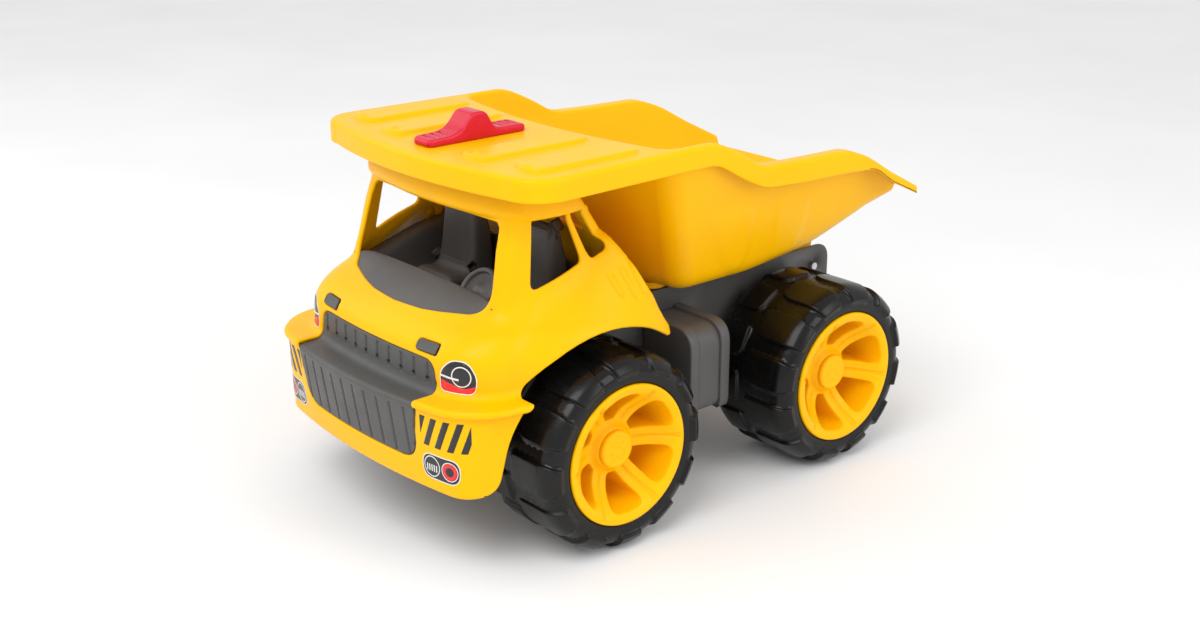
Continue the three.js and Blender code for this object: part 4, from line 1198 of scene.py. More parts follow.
def tyre_mesh():
    pitch = LUG_PITCH * TREAD_R
    end = TYRE_S[-1]
    outer_start, outer_end = 8.0, s_at_x(99.0)
    inner_start, inner_end = s_at_x(93.5), end - 8.0
    middle = s_at_x(96.2)
    outer = [
        (-10.2, outer_start, 1.6), (10.2, outer_start, 1.6), (12.4, outer_start + 13, 3.0),
        (12.4, outer_end - 9, 3.0), (9.0, outer_end, 3.5), (-12.4, outer_end, 4.5),
        (-12.4, outer_start + 13, 3.0),
    ]
    inner = [
        (-12.4, inner_start, 4.5), (9.0, inner_start, 3.5), (12.4, inner_start + 7, 3),
        (12.4, inner_end - 13, 3.0), (10.2, inner_end, 1.6), (-10.2, inner_end, 1.6),
        (-12.4, inner_end - 13, 3.0),
    ]
    inner = [(pitch / 2 + u, v, radius) for u, v, radius in inner]
    # How far in from a lug's edge, and the share of its height there
    profile = [(0.0, 0.0), (0.3, 0.5), (0.7, 0.86), (1.3, 1.0), (2.0, 1.0)]
    depths, rises = zip(*profile)
    lines = []
    for corners in (outer, inner):
        base = resampled(rounded(corners, 5), 1.7)
        lines += [closed(inset_loop(base, depth)) for depth in depths]
    left = resampled([(-pitch / 2, 0), (-pitch / 2, middle), (0, middle), (0, end)], 2.2, closed=False)
    for corner in ((-pitch / 2, middle), (0.0, middle)):
        near = np.argmin(np.linalg.norm(left - np.array(corner), axis=1))
        left[near] = corner
    right = left + np.array([pitch, 0])
    top = resampled([left[-1], right[-1]], 3.0, closed=False)[1:-1]
    bottom = resampled([right[0], left[0]], 3.0, closed=False)[1:-1]
    edge = np.vstack([left, top, right[::-1], bottom])
    flat, tris = filled(edge, grid=3.4, clear=1.2, lines=lines)
    rise = np.zeros(len(flat))
    for corners in (outer, inner):
        base = resampled(rounded(corners, 5), 0.8)
        depth = distance_to(flat, base) * inside(flat, base)
        rise = np.maximum(rise, np.interp(depth, depths, rises))
    x, r, nx, nr = tyre_place(flat[:, 1])
    x = x + nx * rise * LUG_HEIGHT
    r = r + nr * rise * LUG_HEIGHT
    angle = flat[:, 0] / TREAD_R
    verts, faces = [], []
    for k in range(12):
        a = angle + k * LUG_PITCH
        faces.append(tris + len(flat) * k)
        verts.append(np.stack([x, r * np.cos(a), r * np.sin(a)], axis=1))
    # The hollow side, facing the rim
    back = [
        (50.3, 64.6), (50.25, 66.0), (50.25, 68.0), (62.0, 75.0), (62.0, 127.0), (50.25, 133.0),
        (50.3, 138.2),
    ]
    rows = turned_rings(back, RING_STEPS)
    faces += bands(len(flat) * 12, RING_STEPS, len(rows))
    return weld(np.vstack(verts + rows), np.vstack(faces), 0.02)


WELL_CORNERS = [
    (18.8, -4.1, 2.2), (39.6, -15.8, 5.6), (43.2, -8.6, 2.0), (44.0, 0.0, 3.0), (43.2, 8.6, 2.0),
    (39.6, 15.8, 5.6), (18.8, 4.1, 2.2),
]
RIM_FACE = np.array(
    [
        (12, 124), (13.6, 124), (14.4, 123.6), (15.6, 122.2), (17.2, 120.4), (19.0, 119.8), (22, 120.4),
        (28, 123.4), (33, 127.6), (37, 131.9), (40.5, 135.8), (43, 138.2), (45, 139.4), (46.8, 139.9),
        (48.8, 140),
    ],
    float,
)
WELL_FLOOR = 98.0


def rim_face(r):
    return smooth_curve(RIM_FACE[:, 0], RIM_FACE[:, 1], r)


def rim_mesh():
    well = resampled(rounded(WELL_CORNERS, 5), 1.25)
    centre = np.array([31.5, 0.0])
    towards = centre - well
    reach = np.linalg.norm(towards, axis=1, keepdims=True)
    towards = towards / reach
    wells, faces, verts, start = [], [], [], 0
    for k in range(6):
        angle = math.pi / 6 + k * math.pi / 3
        turn = np.array([[math.cos(angle), math.sin(angle)], [-math.sin(angle), math.cos(angle)]])
        wells.append(well @ turn)
        rings = []
        top = rim_face(np.linalg.norm(wells[-1], axis=1))
        for depth, drop in ((0.0, 0.0), (0.35, 0.12), (0.8, 0.6), (1.1, 1.5), (1.25, 3.0)):
            loop = inset_loop(well, depth)
            rings.append((loop, top - drop))
        base = rings[-1][0]
        deep = rings[-1][1]
        for share in (0.25, 0.5, 0.75, 1.0):
            loop = base + towards * np.minimum(1.3 * share, reach * 0.3)
            rings.append((loop, deep + (WELL_FLOOR + 6 - deep) * share))
        base = rings[-1][0]
        for move, height in ((0.6, 3.6), (1.7, 1.7), (3.4, 0.5), (5.2, 0.0)):
            loop = base + towards * np.minimum(move, reach * 0.8)
            rings.append((loop, np.full(len(well), WELL_FLOOR + height)))
        count = len(well)
        for loop, height in rings:
            place = loop @ turn
            verts.append(np.stack([height, place[:, 0], place[:, 1]], axis=1))
        faces += bands(start, count, len(rings))
        start += len(rings) * count
        flat, tris = filled(rings[-1][0] @ turn, grid=3.0, clear=1.0)
        verts.append(np.stack([np.full(len(flat), WELL_FLOOR), flat[:, 0], flat[:, 1]], axis=1))
        faces.append(tris + start)
        start += len(flat)
    # The face between the wells
    circle = round_loop(0, 0, 1.0, RING_STEPS)
    lines = [closed(circle * r)[::2] for r in (13.6, 14.4, 15.6, 17.2)]
    grooves = []
    for k in range(6):
        angle = k * math.pi / 3
        along = np.array([math.cos(angle), math.sin(angle)])
        across = np.array([-along[1], along[0]])
        for d in (-3.2, -2.4, -1.6, -1.0, -0.5, 0, 0.5, 1.0, 1.6, 2.4, 3.2):
            grooves += [along * r + across * d for r in np.arange(19.6, 47.5, 1.1)]
    holes = [circle * 12.0] + wells
    flat, tris = filled(circle * 48.8, holes, grid=2.2, clear=0.55, extra=grooves, lines=lines)
    r = np.linalg.norm(flat, axis=1)
    phi = np.arctan2(flat[:, 1], flat[:, 0])
    near = (phi + math.pi / 6) % (math.pi / 3) - math.pi / 6
    side = np.abs(r * np.sin(near))
    window = np.clip((r - 19.0) / 2.5, 0, 1) * np.clip((47.4 - r) / 2.0, 0, 1)
    flare = np.clip((r - 36.0) / 10.0, 0, 1) * 1.1
    groove = np.exp(-(np.maximum(np.abs(side - flare) - 0.25, 0) / 0.65) ** 2)
    height = rim_face(r) - 1.7 * groove * window
    verts.append(np.stack([height, flat[:, 0], flat[:, 1]], axis=1))
    faces.append(tris + start)
    start += len(flat)
    # Outside barrel, back and bore
    turned = [
        (48.8, 140), (49.5, 139.7), (49.9, 139.1), (50.0, 138.4), (50.0, 134.0), (50.0, 68.5),
        (49.6, 68.0), (47.4, 68.0), (47.0, 68.6), (46.2, 93.0), (44.0, 95.0), (13.4, 95.0), (12.0, 93.6),
        (12.0, 90.6), (11.4, 90.0), (3.3, 90.0), (3.3, 116.0), (9.0, 116.0), (9.0, 123.6), (9.4, 124.0),
        (12.0, 124.0),
    ]
    verts += turned_rings(turned, RING_STEPS)
    faces += bands(start, RING_STEPS, len(turned))
    return weld(np.vstack(verts), np.vstack(faces), 2e-3)


def cap_mesh():
    """The hub's button, with a ring and a plain six-pointed relief."""
    steps = 96
    circle = round_loop(0, 0, 1.0, steps)
    lines = [closed(circle * r)[::2] for r in (9.4, 10.0, 10.6, 11.2)]
    flat, tris = filled(circle * 12.4, grid=0.8, clear=0.35, lines=lines)
    r = np.linalg.norm(flat, axis=1)
    phi = np.arctan2(flat[:, 1], flat[:, 0])
    height = 127.5 + 0.35 * np.clip((r - 9.6) / 0.7, 0, 1) * np.clip((12.2 - r) / 0.6, 0, 1)
    star = np.clip((6.2 + 1.5 * np.cos(6 * phi) - r) / 0.6, 0, 1) - np.clip((2.6 - r) / 0.6, 0, 1)
    height += 0.6 * star
    verts = [np.stack([height, flat[:, 0], flat[:, 1]], axis=1)]
    faces = [tris]
    start = len(flat)
    turned = [
        (12.4, 127.5), (13.0, 127.2), (13.4, 126.5), (13.5, 125.6), (13.5, 124.7), (13.2, 124.3),
        (8.7, 124.3), (8.7, 121.0), (0.0, 121.0),
    ]
    verts += turned_rings(turned, steps)
    faces += bands(start, steps, len(turned))
    return weld(np.vstack(verts), np.vstack(faces), 2e-3)


def outward(verts, tris):
    """Turns a closed mesh so that its faces point out."""
    tris = consistent(verts, tris)
    a, b, c = (verts[tris[:, i]] for i in range(3))
    volume = np.sum(a * np.cross(b, c))
    return tris[:, ::-1] if volume < 0 else tris


WHEEL_PARTS = {
    "tyre": (tyre_mesh(), TYRE, "black_plastic"),
    "rim": (rim_mesh(), YELLOW, "yellow_plastic"),
    "hub_cap": (cap_mesh(), YELLOW, "yellow_plastic"),
}
for part, ((wheel_verts, wheel_tris), material, slot) in WHEEL_PARTS.items():
    wheel_tris = outward(wheel_verts, wheel_tris)
    for end, axle_y in AXLES.items():
        turn = math.radians(SPOKE_TURN[end])
        y = wheel_verts[:, 1] * math.cos(turn) - wheel_verts[:, 2] * math.sin(turn)
        z = wheel_verts[:, 1] * math.sin(turn) + wheel_verts[:, 2] * math.cos(turn)
        for side_name, side in SIDES:
            placed = np.stack([side * wheel_verts[:, 0], axle_y + y, AXLE_Z + z], axis=1)
            facing = wheel_tris if side > 0 else wheel_tris[:, ::-1]
            name = f"{part}_{end}_{side_name}"
            add_piece(f"{name}_moulding", placed, facing, material, f"wheel_{end}_{side_name}", slot, [name])

# ------------------------------------------------------------------ grille and marker lamps


def front_y(x, z, s_of):
    """Where the cab's front surface lies at a width and height."""
    s = float(s_of(z))
    return float(CAB.at(CAB.theta_front(x, s), s)[1])


GRILLE_STATIONS = np.linspace(0, 75, 16)
GRILLE_LOW = [78.0, 88.0, 98.0, 108.0]
GRILLE_HIGH = [126.0, 133.0, 138.0, 143.0]
GROOVE_PITCH = 13.6
GRILLE_RECESS = 0.5


def grille_profile(x):
    """The grille's section at a width, from its foot to its top, resampled by length."""
    foot = front_y(x, GRILLE_LOW[0], CAB.s_of_skirt) + GRILLE_RECESS
    nose = float(np.interp(x, [0, 20, 40, 60, 75], [-221.2, -220.8, -219.2, -216.6, -214.1]))
    low = [(foot + (nose - foot) * (z - GRILLE_LOW[0]) / (119.8 - GRILLE_LOW[0]), z, 3.0) for z in GRILLE_LOW]
    high = [(front_y(x, z, CAB.s_of_z) + GRILLE_RECESS, z, 3.0) for z in GRILLE_HIGH]
    corners = low + [(nose, 119.8, 2.0), (high[0][0], 120.6, 7.0)] + high
    corners[len(low) + 2] = (high[0][0], high[0][1] + 3.0, 2.0)
    return bent(corners, 6)


def grille_table():
    rows = []
    for x in GRILLE_STATIONS:
        line = grille_profile(float(x))
        along = np.concatenate([[0], np.cumsum(np.linalg.norm(np.diff(line, axis=0), axis=1))])
        # Pin the foot, the ledge's edge and the upper face's foot to the same shares in each section
        edge = along[np.argmin(line[:, 0])]
        back = along[np.argmin(np.abs(line[:, 1] - 130.5))]
        total = along[-1]
        marks = np.interp(np.linspace(0, 3, 121), [0, 1, 2, 3], [0, edge, back, total])
        rows.append(np.stack([np.interp(marks, along, line[:, i]) for i in (0, 1)], axis=1))
    return np.array(rows)


GRILLE_TABLE = grille_table()


def grille_at(x, p):
    """Points of the grille at widths x and section shares p from 0 to 3."""
    k = np.clip(x / 5.0, 0, len(GRILLE_STATIONS) - 1.001)
    i = k.astype(int)
    t = (k - i)[:, None]
    q = np.clip(p * 40, 0, 119.999)
    j = q.astype(int)
    u = (q - j)[:, None]
    a = GRILLE_TABLE[i, j] * (1 - u) + GRILLE_TABLE[i, j + 1] * u
    b = GRILLE_TABLE[i + 1, j] * (1 - u) + GRILLE_TABLE[i + 1, j + 1] * u
    place = a * (1 - t) + b * t
    return np.stack([x, place[:, 0], place[:, 1]], axis=1)


SHARE_LENGTH = [0.0, 42.0, 69.0, 82.0]


def grille_piece():
    """An insert with a grooved upper face, a hollowed ledge and a grooved lower face."""
    _foot, ledge, _back, top = SHARE_LENGTH
    edge = [(0, 0), (66, 0, 14), (71.0, 36), (71.1, 45, 2), (71.1, 62), (69, 69), (69, top, 12), (0, top)]
    edge = resampled(rounded(edge, 8), 1.8)
    edge[np.abs(edge[:, 0]) < 0.9, 0] = 0.0
    windows = [(1.6, ledge - 3.5), (65.5, top - 1.6)]
    lines = []
    for k in range(5):
        middle = GROOVE_PITCH * (k + 0.5)
        for low, high in windows:
            for half, ramp in ((0.98, 0.0), (0.76, 1.2)):
                p0, p1 = low + ramp, high - ramp
                slot = [(middle - half, p0), (middle + half, p0), (middle + half, p1), (middle - half, p1)]
                lines.append(closed(resampled(slot, 1.3)))
    flat, tris = filled(edge, grid=2.6, clear=0.5, lines=lines)
    share = np.interp(flat[:, 1], SHARE_LENGTH, [0, 1, 2, 3])
    x = np.where(np.abs(flat[:, 0]) < 1e-6, 0.0, flat[:, 0])
    verts = grille_at(x, share)
    normals = vertex_normals(verts, tris)
    if normals[:, 1].mean() > 0:
        tris = tris[:, ::-1]
        normals = -normals
    across = np.abs((x / GROOVE_PITCH) % 1.0 - 0.5) * GROOVE_PITCH
    reach = sum(np.clip(np.minimum(flat[:, 1] - low, high - flat[:, 1]) / 1.2, 0, 1) for low, high in windows)
    cut = np.clip((0.98 - across) / 0.2, 0, 1) * reach * (x < 68)
    verts[:, 1] += cut * 2.4
    full, faces = mirrored(verts, tris)
    return thick_sheet(full, faces, 3.0, bulge=0.5)


add_piece("grille_insert", *grille_piece(), GREY, "chassis", "grey_plastic", ["grille"])


def lamp_piece(side):
    """A rounded marker lamp that stands a little out of the nose, with a raised rim."""
    edge = resampled(lamp_outline(0.0), 0.9)
    rings = [inset_loop(edge, d) for d in (0.5, 1.0, 1.4, 1.9)]
    flat, tris = filled(edge, grid=1.4, clear=0.4, lines=[closed(r) for r in rings])
    depth = distance_to(flat, edge) * inside(flat, edge)
    rise = np.interp(depth, [0, 0.5, 1.0, 1.4, 1.9], [0.1, 0.75, 0.85, 0.55, 0.4])
    s = CAB.s_of_z(flat[:, 1])
    theta = np.array([CAB.theta_front(x, float(q)) for x, q in zip(flat[:, 0], s)])
    verts = CAB.at(theta, s)
    normals = vertex_normals(verts, tris)
    if normals[:, 1].mean() > 0:
        tris = tris[:, ::-1]
        normals = -normals
    verts = verts + normals * rise[:, None]
    solid, faces = thick_sheet(verts, tris, 3.4, bulge=0.2)
    if side < 0:
        return other_side(solid, faces)
    return solid, faces


for side_name, side in SIDES:
    name = f"marker_lamp_{side_name}"
    add_piece(f"{name}_lens", *lamp_piece(side), GREY, "chassis", "grey_plastic", [name])

# ------------------------------------------------------------------ simple moulded bodies


def prism(loop, low, high, edge, place, steps=4, bores=()):
    """An extruded outline with rounded edges at both ends; `place` puts (u, v, w) in space."""
    turn = np.linspace(0, math.pi / 2, steps + 1)
    inset, drop = edge * (1 - np.sin(turn)), edge * (1 - np.cos(turn))
    rings = [(edge * 1.35, low), *zip(inset, low + drop)]
    rings += [*zip(inset[::-1], high - drop[::-1]), (edge * 1.35, high)]
    count = len(loop)
    verts, faces = [], []
    for depth, w in rings:
        ring = inset_loop(loop, depth) if depth > 1e-6 else loop
        verts.append(np.column_stack([ring, np.full(count, w)]))
    faces += bands(0, count, len(rings))
    start = len(rings) * count
    for bore in bores:
        size = len(bore)
        verts += [np.column_stack([bore, np.full(size, w)]) for w in (low, high)]
        faces += bands(start, size, 2)
        start += 2 * size
    for w, ring in ((low, verts[0][:, :2]), (high, verts[len(rings) - 1][:, :2])):
        flat, tris = filled(ring, bores, grid=1e3)
        verts.append(np.column_stack([flat, np.full(len(flat), w)]))
        faces.append(tris + start)
        start += len(flat)
    verts, tris = weld(np.vstack(verts), np.vstack(faces), 1e-3)
    tris = outward(verts, tris)
    placed = place(verts)
    a, b, c = (placed[tris[:, i]] for i in range(3))
    return placed, tris[:, ::-1] if np.sum(a * np.cross(b, c)) < 0 else tris


def along_x(points):
    return points[:, [2, 0, 1]]


def along_y(points):
    return points[:, [0, 2, 1]]


def along_z(points):
    return points


def box_loop(u0, u1, v0, v1, radius):
    corners = [(u0, v0, radius), (u1, v0, radius), (u1, v1, radius), (u0, v1, radius)]
    return resampled(rounded(corners, 6), 1.5)


def flipped(parts):
    verts, tris = joined(parts)
    return verts * np.array([-1.0, 1.0, 1.0]), tris[:, ::-1]


# The tabs by which the cab is screwed to the chassis
tab_parts = []
for side in (1, -1):
    for y0, y1 in ((-193.5, -168.0), (-62.0, -36.0)):
        x0, x1 = sorted((side * 38.0, side * 54.0))
        tab_parts.append(prism(box_loop(x0, x1, y0, y1, 3.0), 144.3, 147.3, 0.6, along_z))
add_piece("cab_screw_tabs", *joined(tab_parts), YELLOW, "chassis", "yellow_plastic")


def wall_inside(y, z):
    """The half width inside the cab's side wall."""
    s = float(CAB.s_of_z(z))
    return float(CAB.at(CAB.theta_side(y, s), s)[0]) - 3.4


def dash_panel():
    """A convex shelf below the windscreen that meets the cab's inside all round."""
    across = np.concatenate([np.linspace(0, 60, 21), np.linspace(60, 88, 20)[1:]])
    columns = []
    for x in across:
        side = max(0.0, x - 64) / 28
        probe = x + 5.0 * (x / 90) ** 4
        foot = float(np.interp(x, [0, 30, 55, 70, 80, 92], [160.0, 160.6, 162.5, 165.5, 168.5, 170.0]))
        front = front_y(float(probe), foot, CAB.s_of_z) + 3.4
        rear = max(-150.0 - 16.0 * side**2.2, front + 1.0)
        crest = 178.0 - 1.5 * (x / 80) ** 2 - 5.0 * side**2
        t = np.linspace(0, 1, 14)
        rise = (crest - foot) * (1.3 * t - 0.3 * t * t)
        line = list(zip(front + (rear - 3.0 - front) * t, foot + rise))
        start = np.array(line[-1])
        corner, low = np.array([rear, crest + 0.4]), np.array([rear, crest - 3.0])
        line += curve(start, corner, low, 5)
        line += [(rear, z) for z in np.linspace(low[1], 153.0, 5)[1:]]
        columns.append(np.array([(x, y, z) for y, z in line]))
    verts, tris = lattice(columns)
    verts, tris = weld(verts, tris, 1e-3)
    full, faces = mirrored(verts, tris)
    faces = consistent(full, faces)
    return thick_sheet(full, faces, 2.4, bulge=0.5)


add_piece("dash_shelf", *dash_panel(), GREY, "chassis", "grey_plastic", ["dash_panel"])


def turned(profile, centre, tilt):
    """A lathe body about its own axis, tilted from upright towards the rear and put in place."""
    steps = 72
    angle = math.tau * np.arange(steps) / steps
    verts = [np.stack([r * np.cos(angle), r * np.sin(angle), np.full(steps, h)], axis=1) for r, h in profile]
    verts, tris = weld(np.vstack(verts), np.vstack(bands(0, steps, len(profile))), 1e-4)
    tris = outward(verts, tris)
    c, s = math.cos(tilt), math.sin(tilt)
    spin = np.array([[1, 0, 0], [0, c, -s], [0, s, c]])
    return verts @ spin.T + np.array(centre), tris


wheel_line = [(0.0, -17), (3.3, -17), (3.5, -16.6), (3.5, -1.0), (5.0, 0.0), (13.0, 0.3)]
wheel_line += [(15.0 + 2.0 * math.cos(a), 2.0 + 2.0 * math.sin(a)) for a in np.linspace(-1.9, 3.6, 16)]
wheel_line += [(12.0, 1.6), (6.0, 2.2), (4.6, 3.2), (4.2, 3.6), (0.0, 3.8)]
steering = turned(wheel_line, (38.0, -135.5, 170.0), math.radians(50))
add_piece("steering_disc", *steering, GREY, "chassis", "grey_plastic", ["steering_wheel"])


def tub_shell():
    """The seat tray: a floor, and walls that rise to the belt and lean out to the cab's sides."""
    stations = np.linspace(-146, -68, 27)
    columns = []
    for y in stations:
        crest = float(np.interp(y, [-146, -128, -95, -68], [166, 170, 180, 184]))
        reach = min(wall_inside(float(y), crest) - 0.4, 98.0)
        bends = [(74.0, 147.3), (82.0, 147.3), (83.0, 155.0), (85.0, crest - 6), (86.0, crest), (90.0, crest)]
        start, low, wall, shoulder, high, rim = (np.array(p) for p in bends)
        line = [(x, 147.3) for x in np.linspace(0, 74, 12)]
        line += curve(start, low, wall, 6) + list(np.linspace(wall, shoulder, 7)[1:])
        line += curve(shoulder, high, rim, 5) + list(np.linspace(rim, [reach, crest], 4)[1:])
        columns.append(np.array([(x, y, z) for x, z in line]))
    verts, tris = lattice(columns)
    full, faces = mirrored(*weld(verts, tris, 1e-3))
    faces = consistent(full, faces)
    solid, shell = thick_sheet(full, faces, 2.6, bulge=0.6)
    back = prism(box_loop(-84, 84, 147.0, 183.0, 4.0), -72.6, -70.0, 0.6, along_y)
    count = len(solid)
    return np.vstack([solid, back[0]]), shell + (back[1] + count).tolist()


add_piece("seat_tray", *tub_shell(), GREY, "chassis", "grey_plastic", ["interior_tub"])


def seat_piece(side):
    """A cushion and a high back as one moulding."""
    corners = [
        (-119.5, 148, 2), (-119.5, 161, 6), (-100, 158.5, 8), (-96.5, 172, 8), (-93.5, 205, 5),
        (-90, 213, 5), (-83, 210.5, 6), (-78, 186, 6), (-76, 148, 2),
    ]
    profile = resampled(rounded(corners, 6), 1.4)
    verts, tris = prism(profile, 21.5, 64.5, 4.5, along_x, steps=6)
    # The back narrows towards its top
    share = np.clip((verts[:, 2] - 160) / 50, 0, 1)
    verts[:, 0] = 43 + (verts[:, 0] - 43) * (1 - 0.16 * share**1.5)
    if side < 0:
        verts, tris = verts * np.array([-1.0, 1.0, 1.0]), tris[:, ::-1]
    return verts, tris


for side_name, side in SIDES:
    seat = f"seat_{side_name}"
    add_piece(f"{seat}_moulding", *seat_piece(side), GREY, "chassis", "grey_plastic", [seat])

# ------------------------------------------------------------------ side tanks


def tank_loop(grow):
    low, high, outer = 64.0 - grow, 127.0 + grow, 108.0 + grow
    corners = [(58.3, low, 0), (outer - 4, low, 2.5), (outer, low + 4, 4), (outer, high, 17), (58.3, high, 0)]
    return resampled(rounded(corners, 10), 1.5)


tank_parts = [
    prism(tank_loop(0.0), -4.0, 33.0, 1.2, along_y),
    prism(tank_loop(2.0), -5.0, 4.0, 1.5, along_y),
    prism(tank_loop(2.0), 25.0, 34.0, 1.5, along_y),
]
add_piece("tank_left", *joined(tank_parts), GREY, "chassis", "grey_plastic", ["side_tank_left"])
add_piece("tank_right", *flipped(tank_parts), GREY, "chassis", "grey_plastic", ["side_tank_right"])

# ------------------------------------------------------------------ chassis, bed feet and lugs


CHASSIS_SIDE = [(-182, 60, 2), (171, 60, 8), (195, 102, 10), (195, 144, 14), (-162, 144, 6), (-182, 118, 8)]
PIVOT = (176.0, 128.0)
BORE_R = 3.1
side_bores = [round_loop(y, z, BORE_R, 32) for y, z in ((-89.0, AXLE_Z), (127.5, AXLE_Z), PIVOT)]
side_bores.append(round_loop(14.5, 100.0, 2.3, 24))
plate = resampled(rounded(CHASSIS_SIDE, 10), 3.0)
frame_parts = []
for x0, x1 in ((-58.0, -55.0), (55.0, 58.0)):
    frame_parts.append(prism(plate, x0, x1, 1.0, along_x, bores=side_bores))
top_bores = [round_loop(x, -49.0, 2.3, 24) for x in (-46.0, 46.0)]
top_plate = box_loop(-57.5, 57.5, -164.0, 146.0, 3.0)
frame_parts.append(prism(top_plate, 141.0, 144.0, 0.9, along_z, bores=top_bores))
frame_parts.append(prism(box_loop(-57.5, 57.5, 61.0, 117.5, 2.0), -182.0, -179.0, 0.9, along_y))
for y in AXLES.values():
    tube = [round_loop(y, AXLE_Z, BORE_R, 32)]
    for x0, x1, edge in ((-89.4, -57.9, 0.8), (57.9, 89.4, 0.8), (-55.1, 55.1, 0.2)):
        frame_parts.append(prism(round_loop(y, AXLE_Z, 9.0), x0, x1, edge, along_x, bores=tube))
slope = [(-181.9, 117.0, 1), (-163.0, 141.6, 1), (-163.0, 144.0, 1), (-165.0, 144.0, 1), (-182.0, 120.5, 1)]
frame_parts.append(prism(resampled(rounded(slope, 4), 1.2), -57.5, 57.5, 0.5, along_x))
add_piece("chassis_moulding", *joined(frame_parts), GREY, "chassis", "grey_plastic", ["chassis_frame"])

lug = [(185.0, 128.0, 0)]
lug += [(176 + 9 * math.cos(a), 128 + 9 * math.sin(a), 0) for a in np.linspace(0, -math.pi, 25)[1:]]
lug += [(157.0, 161.5, 0), (191.5, 175.5, 0)]
lug_loop = resampled(rounded(lug), 1.6)
bed_parts = []
for side in (-1, 1):
    x0, x1 = sorted((side * 40.0, side * 47.0))
    bed_parts.append(prism(lug_loop, x0, x1, 0.8, along_x, bores=[round_loop(*PIVOT, BORE_R, 32)]))
    bed_parts.append(prism(round_loop(side * 46.0, 14.0, 11.0), 144.3, 149.0, 0.8, along_z))
add_piece("load_bed_feet", *joined(bed_parts), YELLOW, "bed", "yellow_plastic")

# ------------------------------------------------------------------ bed lock slider

SLIDER_LINE = np.array(
    [
        (-153, 270.6), (-148, 271.5), (-136, 271.9), (-129, 273.4), (-123.5, 277.0), (-119.5, 281.6),
        (-116.5, 284.4), (-113.5, 285.0), (-108.5, 285.0), (-105.2, 283.6), (-102.2, 279.4), (-99.0, 274.6),
        (-95.5, 272.4), (-90, 271.7), (-76, 271.6), (-71, 270.8),
    ],
    float,
)
SLIDER_SLOTS = [-146.5, -140.5, -134.5, -89.0, -83.5, -78.0]
SLOT_HALF, SLOT_REACH, SLOT_DEPTH = 6.6, 1.9, 1.7
SLIDER_BASE, SLIDER_FOOT = 267.0, 266.4


def slider_mesh():
    loop = box_loop(-10.0, 10.0, -153.0, -71.0, 4.5)
    loop = resampled(loop, 1.1)
    rings = [inset_loop(loop, d) for d in (0.35, 0.8, 1.3, 1.9)]
    slots = []
    for y in SLIDER_SLOTS:
        for grow in (0.0, 0.35, 0.7):
            x, y0, y1 = SLOT_HALF - grow, y - SLOT_REACH + grow, y + SLOT_REACH - grow
            slots.append(resampled([(-x, y0), (x, y0), (x, y1), (-x, y1)], 1.2))
    flat, tris = filled(loop, grid=1.25, clear=0.4, lines=[closed(r) for r in rings + slots])
    height = smooth_curve(SLIDER_LINE[:, 0], SLIDER_LINE[:, 1], flat[:, 1])
    depth = distance_to(flat, loop) * inside(flat, loop)
    t = np.clip(depth / 1.9, 0, 1)
    height -= 1.6 * (1 - np.sqrt(1 - (1 - t) ** 2))
    for y in SLIDER_SLOTS:
        into = np.minimum(SLOT_HALF - np.abs(flat[:, 0]), SLOT_REACH - np.abs(flat[:, 1] - y))
        height -= SLOT_DEPTH * np.clip(into / 0.6, 0, 1)
    top = (np.column_stack([flat, height]), tris)
    edge_height = smooth_curve(SLIDER_LINE[:, 0], SLIDER_LINE[:, 1], loop[:, 1]) - 1.6
    columns = []
    for point, z in zip(loop, edge_height):
        heights = (z, z - 1.2, (z + SLIDER_BASE) / 2, SLIDER_BASE)
        columns.append(np.array([(point[0], point[1], h) for h in heights]))
    columns.append(columns[0])
    wall = lattice(columns)
    foot = np.column_stack([inset_loop(loop, 0.6), np.full(len(loop), SLIDER_FOOT)])
    base = np.column_stack([loop, np.full(len(loop), SLIDER_BASE)])
    skirt = (np.vstack([base, foot]), np.vstack(bands(0, len(loop), 2)))
    flat, tris = filled(foot[:, :2], grid=1e3)
    under = (np.column_stack([flat, np.full(len(flat), SLIDER_FOOT)]), tris)
    verts, tris = joined([top, wall, skirt, under])
    verts, tris = weld(verts, tris, 1e-3)
    return verts, outward(verts, tris)


add_piece("bed_lock_slider", *slider_mesh(), RED, "latch", "red_plastic", ["latch_slider"])

# ------------------------------------------------------------------ stickers


def printed(name, colour):
    """Printed film: one ink with a slight mottling under a clear gloss."""
    light = tuple(min(1.0, c * 1.12 + 0.004) for c in colour)
    return moulded(name, colour, light, (0.2, 0.3), 0.05, 900.0)


INK_BLACK = printed("ink_black", (0.012, 0.012, 0.013))
INK_WHITE = printed("ink_white", (0.74, 0.74, 0.74))
INK_RED = printed("ink_red", (0.72, 0.015, 0.02))


def film(name, u0, v0, skirt, layers):
    """A printed film on the cab; layers are (height, outer loop, holes, ink) about a point on the front."""
    s_of = CAB.s_of_skirt if skirt else CAB.s_of_z
    s0 = float(s_of(v0))
    theta0 = CAB.theta_front(u0, s0)
    across = CAB.at(theta0 + 0.01, s0) - CAB.at(theta0 - 0.01, s0)
    per_u = 0.02 / float(np.linalg.norm(across))
    for side_name, side in SIDES:
        for number, (height, outer, holes, ink) in enumerate(layers):
            outer = np.asarray(outer, float)
            flat, tris = filled(outer, holes, grid=1.6, clear=0.35)
            verts = CAB.at(theta0 + flat[:, 0] * per_u, s0 + flat[:, 1])
            normals = vertex_normals(verts, tris)
            away = verts - np.array([0.0, CAB_CENTRE_Y, 0.0])
            if np.mean(np.sum(normals[:, :2] * away[:, :2], axis=1)) < 0:
                tris, normals = tris[:, ::-1], -normals
            verts = verts + normals * height
            solid, faces = thick_sheet(verts, tris, height, rim_steps=2, bulge=0.02)
            if side < 0:
                solid, faces = other_side(solid, faces)
            add_piece(f"{name}_{side_name}_{number}", solid, faces, ink, "chassis")


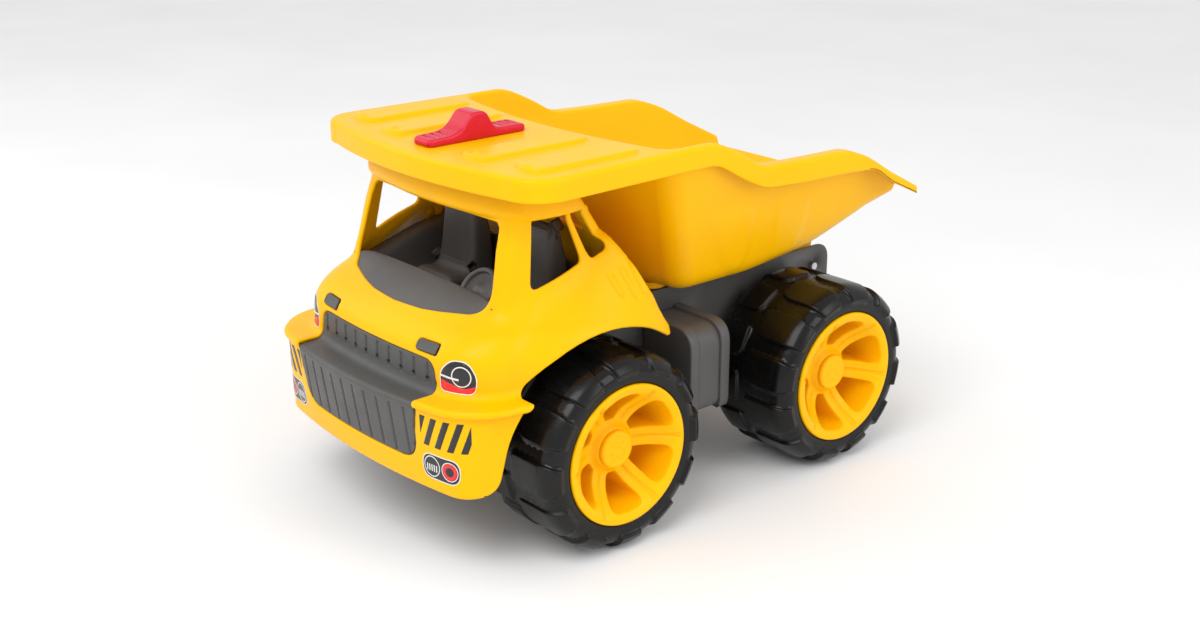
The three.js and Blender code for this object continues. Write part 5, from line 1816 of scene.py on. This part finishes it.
# Headlamp: a black rounded patch with a red foot, a white ring and a short white line
lamp_corners = [
    (-13.6, -10.4, 4), (12.3, -10.4, 6), (13.6, 1.5, 4.5), (7.6, 11.8, 5.5), (-5.4, 11.8, 5.5), (-14, 3, 5),
]
lamp_loop = resampled(rounded(lamp_corners, 8), 1.1)
inner_loop = inset_loop(lamp_loop, 0.7)
foot_corners = [
    (-12.8, -9.6, 3), (11.7, -9.6, 5), (12.4, -4.4, 1), (4.0, -6.8, 3), (-4.0, -4.6, 3), (-12.9, -2.0, 1),
]
red_foot = resampled(rounded(foot_corners, 8), 0.9)
beam = resampled(rounded([(-12.9, -0.4, 0.3), (0.6, -1.6, 0.3), (0.8, -0.2, 0.3), (-13.0, 1.0, 0.3)], 3), 0.7)
ring_loop = round_loop(2.4, 1.3, 7.1, 44, 0.98)
film(
    "headlamp",
    88.0,
    136.0,
    False,
    [
        (0.15, lamp_loop, [inner_loop], INK_WHITE),
        (0.15, inner_loop, [], INK_BLACK),
        (0.22, red_foot, [], INK_RED),
        (0.29, ring_loop, [inset_loop(ring_loop, 0.8)], INK_WHITE),
        (0.36, beam, [], INK_WHITE),
    ],
)

# Hazard stripes: slanted bars on the bumper
STRIPE_PITCH, STRIPE_WIDTH, STRIPE_LEAN, STRIPE_HALF, STRIPE_REACH = 10.4, 5.0, 8.2, 10.4, 20.7


def clipped(polygon, low, high):
    """A convex polygon cut to a range of u."""
    for sign, limit in ((1, low), (-1, high)):
        out = []
        for a, b in zip(polygon, polygon[1:] + polygon[:1]):
            ia, ib = sign * (a[0] - limit), sign * (b[0] - limit)
            if ia >= 0:
                out.append(a)
            if ia * ib < 0:
                t = ia / (ia - ib)
                out.append((a[0] + (b[0] - a[0]) * t, a[1] + (b[1] - a[1]) * t))
        polygon = out
        if not polygon:
            return []
    return polygon


stripe_layers = []
for k in range(-1, 4):
    u, v = -18.2 + STRIPE_PITCH * k, STRIPE_HALF
    lean = u + STRIPE_LEAN
    bar = [(u, -v), (u + STRIPE_WIDTH, -v), (lean + STRIPE_WIDTH, v), (lean, v)]
    cut = clipped(bar, -STRIPE_REACH, STRIPE_REACH)
    if len(cut) >= 3:
        stripe_layers.append((0.15, resampled(cut, 1.2), [], INK_BLACK))
film("hazard_stripes", 94.5, 103.0, True, stripe_layers)

# Fog lamps: a black capsule with a barred white ring and a red ring
capsule = [(-17.0, -9.2, 8.9), (17.0, -9.2, 8.9), (17.0, 9.2, 8.9), (-17.0, 9.2, 8.9)]
capsule_loop = resampled(rounded(capsule, 10), 1.1)
core = inset_loop(capsule_loop, 0.7)
left_ring = round_loop(-7.6, 0.0, 7.6, 40)
right_ring = round_loop(8.4, 0.0, 6.9, 40)
fog = [
    (0.15, capsule_loop, [core], INK_WHITE),
    (0.15, core, [], INK_BLACK),
    (0.22, left_ring, [inset_loop(left_ring, 0.7)], INK_WHITE),
    (0.22, right_ring, [inset_loop(right_ring, 0.6)], INK_WHITE),
    (0.22, inset_loop(right_ring, 0.9), [inset_loop(right_ring, 3.6)], INK_RED),
]
for k in range(5):
    u = -12.0 + 2.2 * k
    fog.append((0.22, box_loop(u - 0.5, u + 0.5, -3.6, 1.4, 0.3), [], INK_WHITE))
film("fog_lamps", 89.2, 78.2, True, fog)
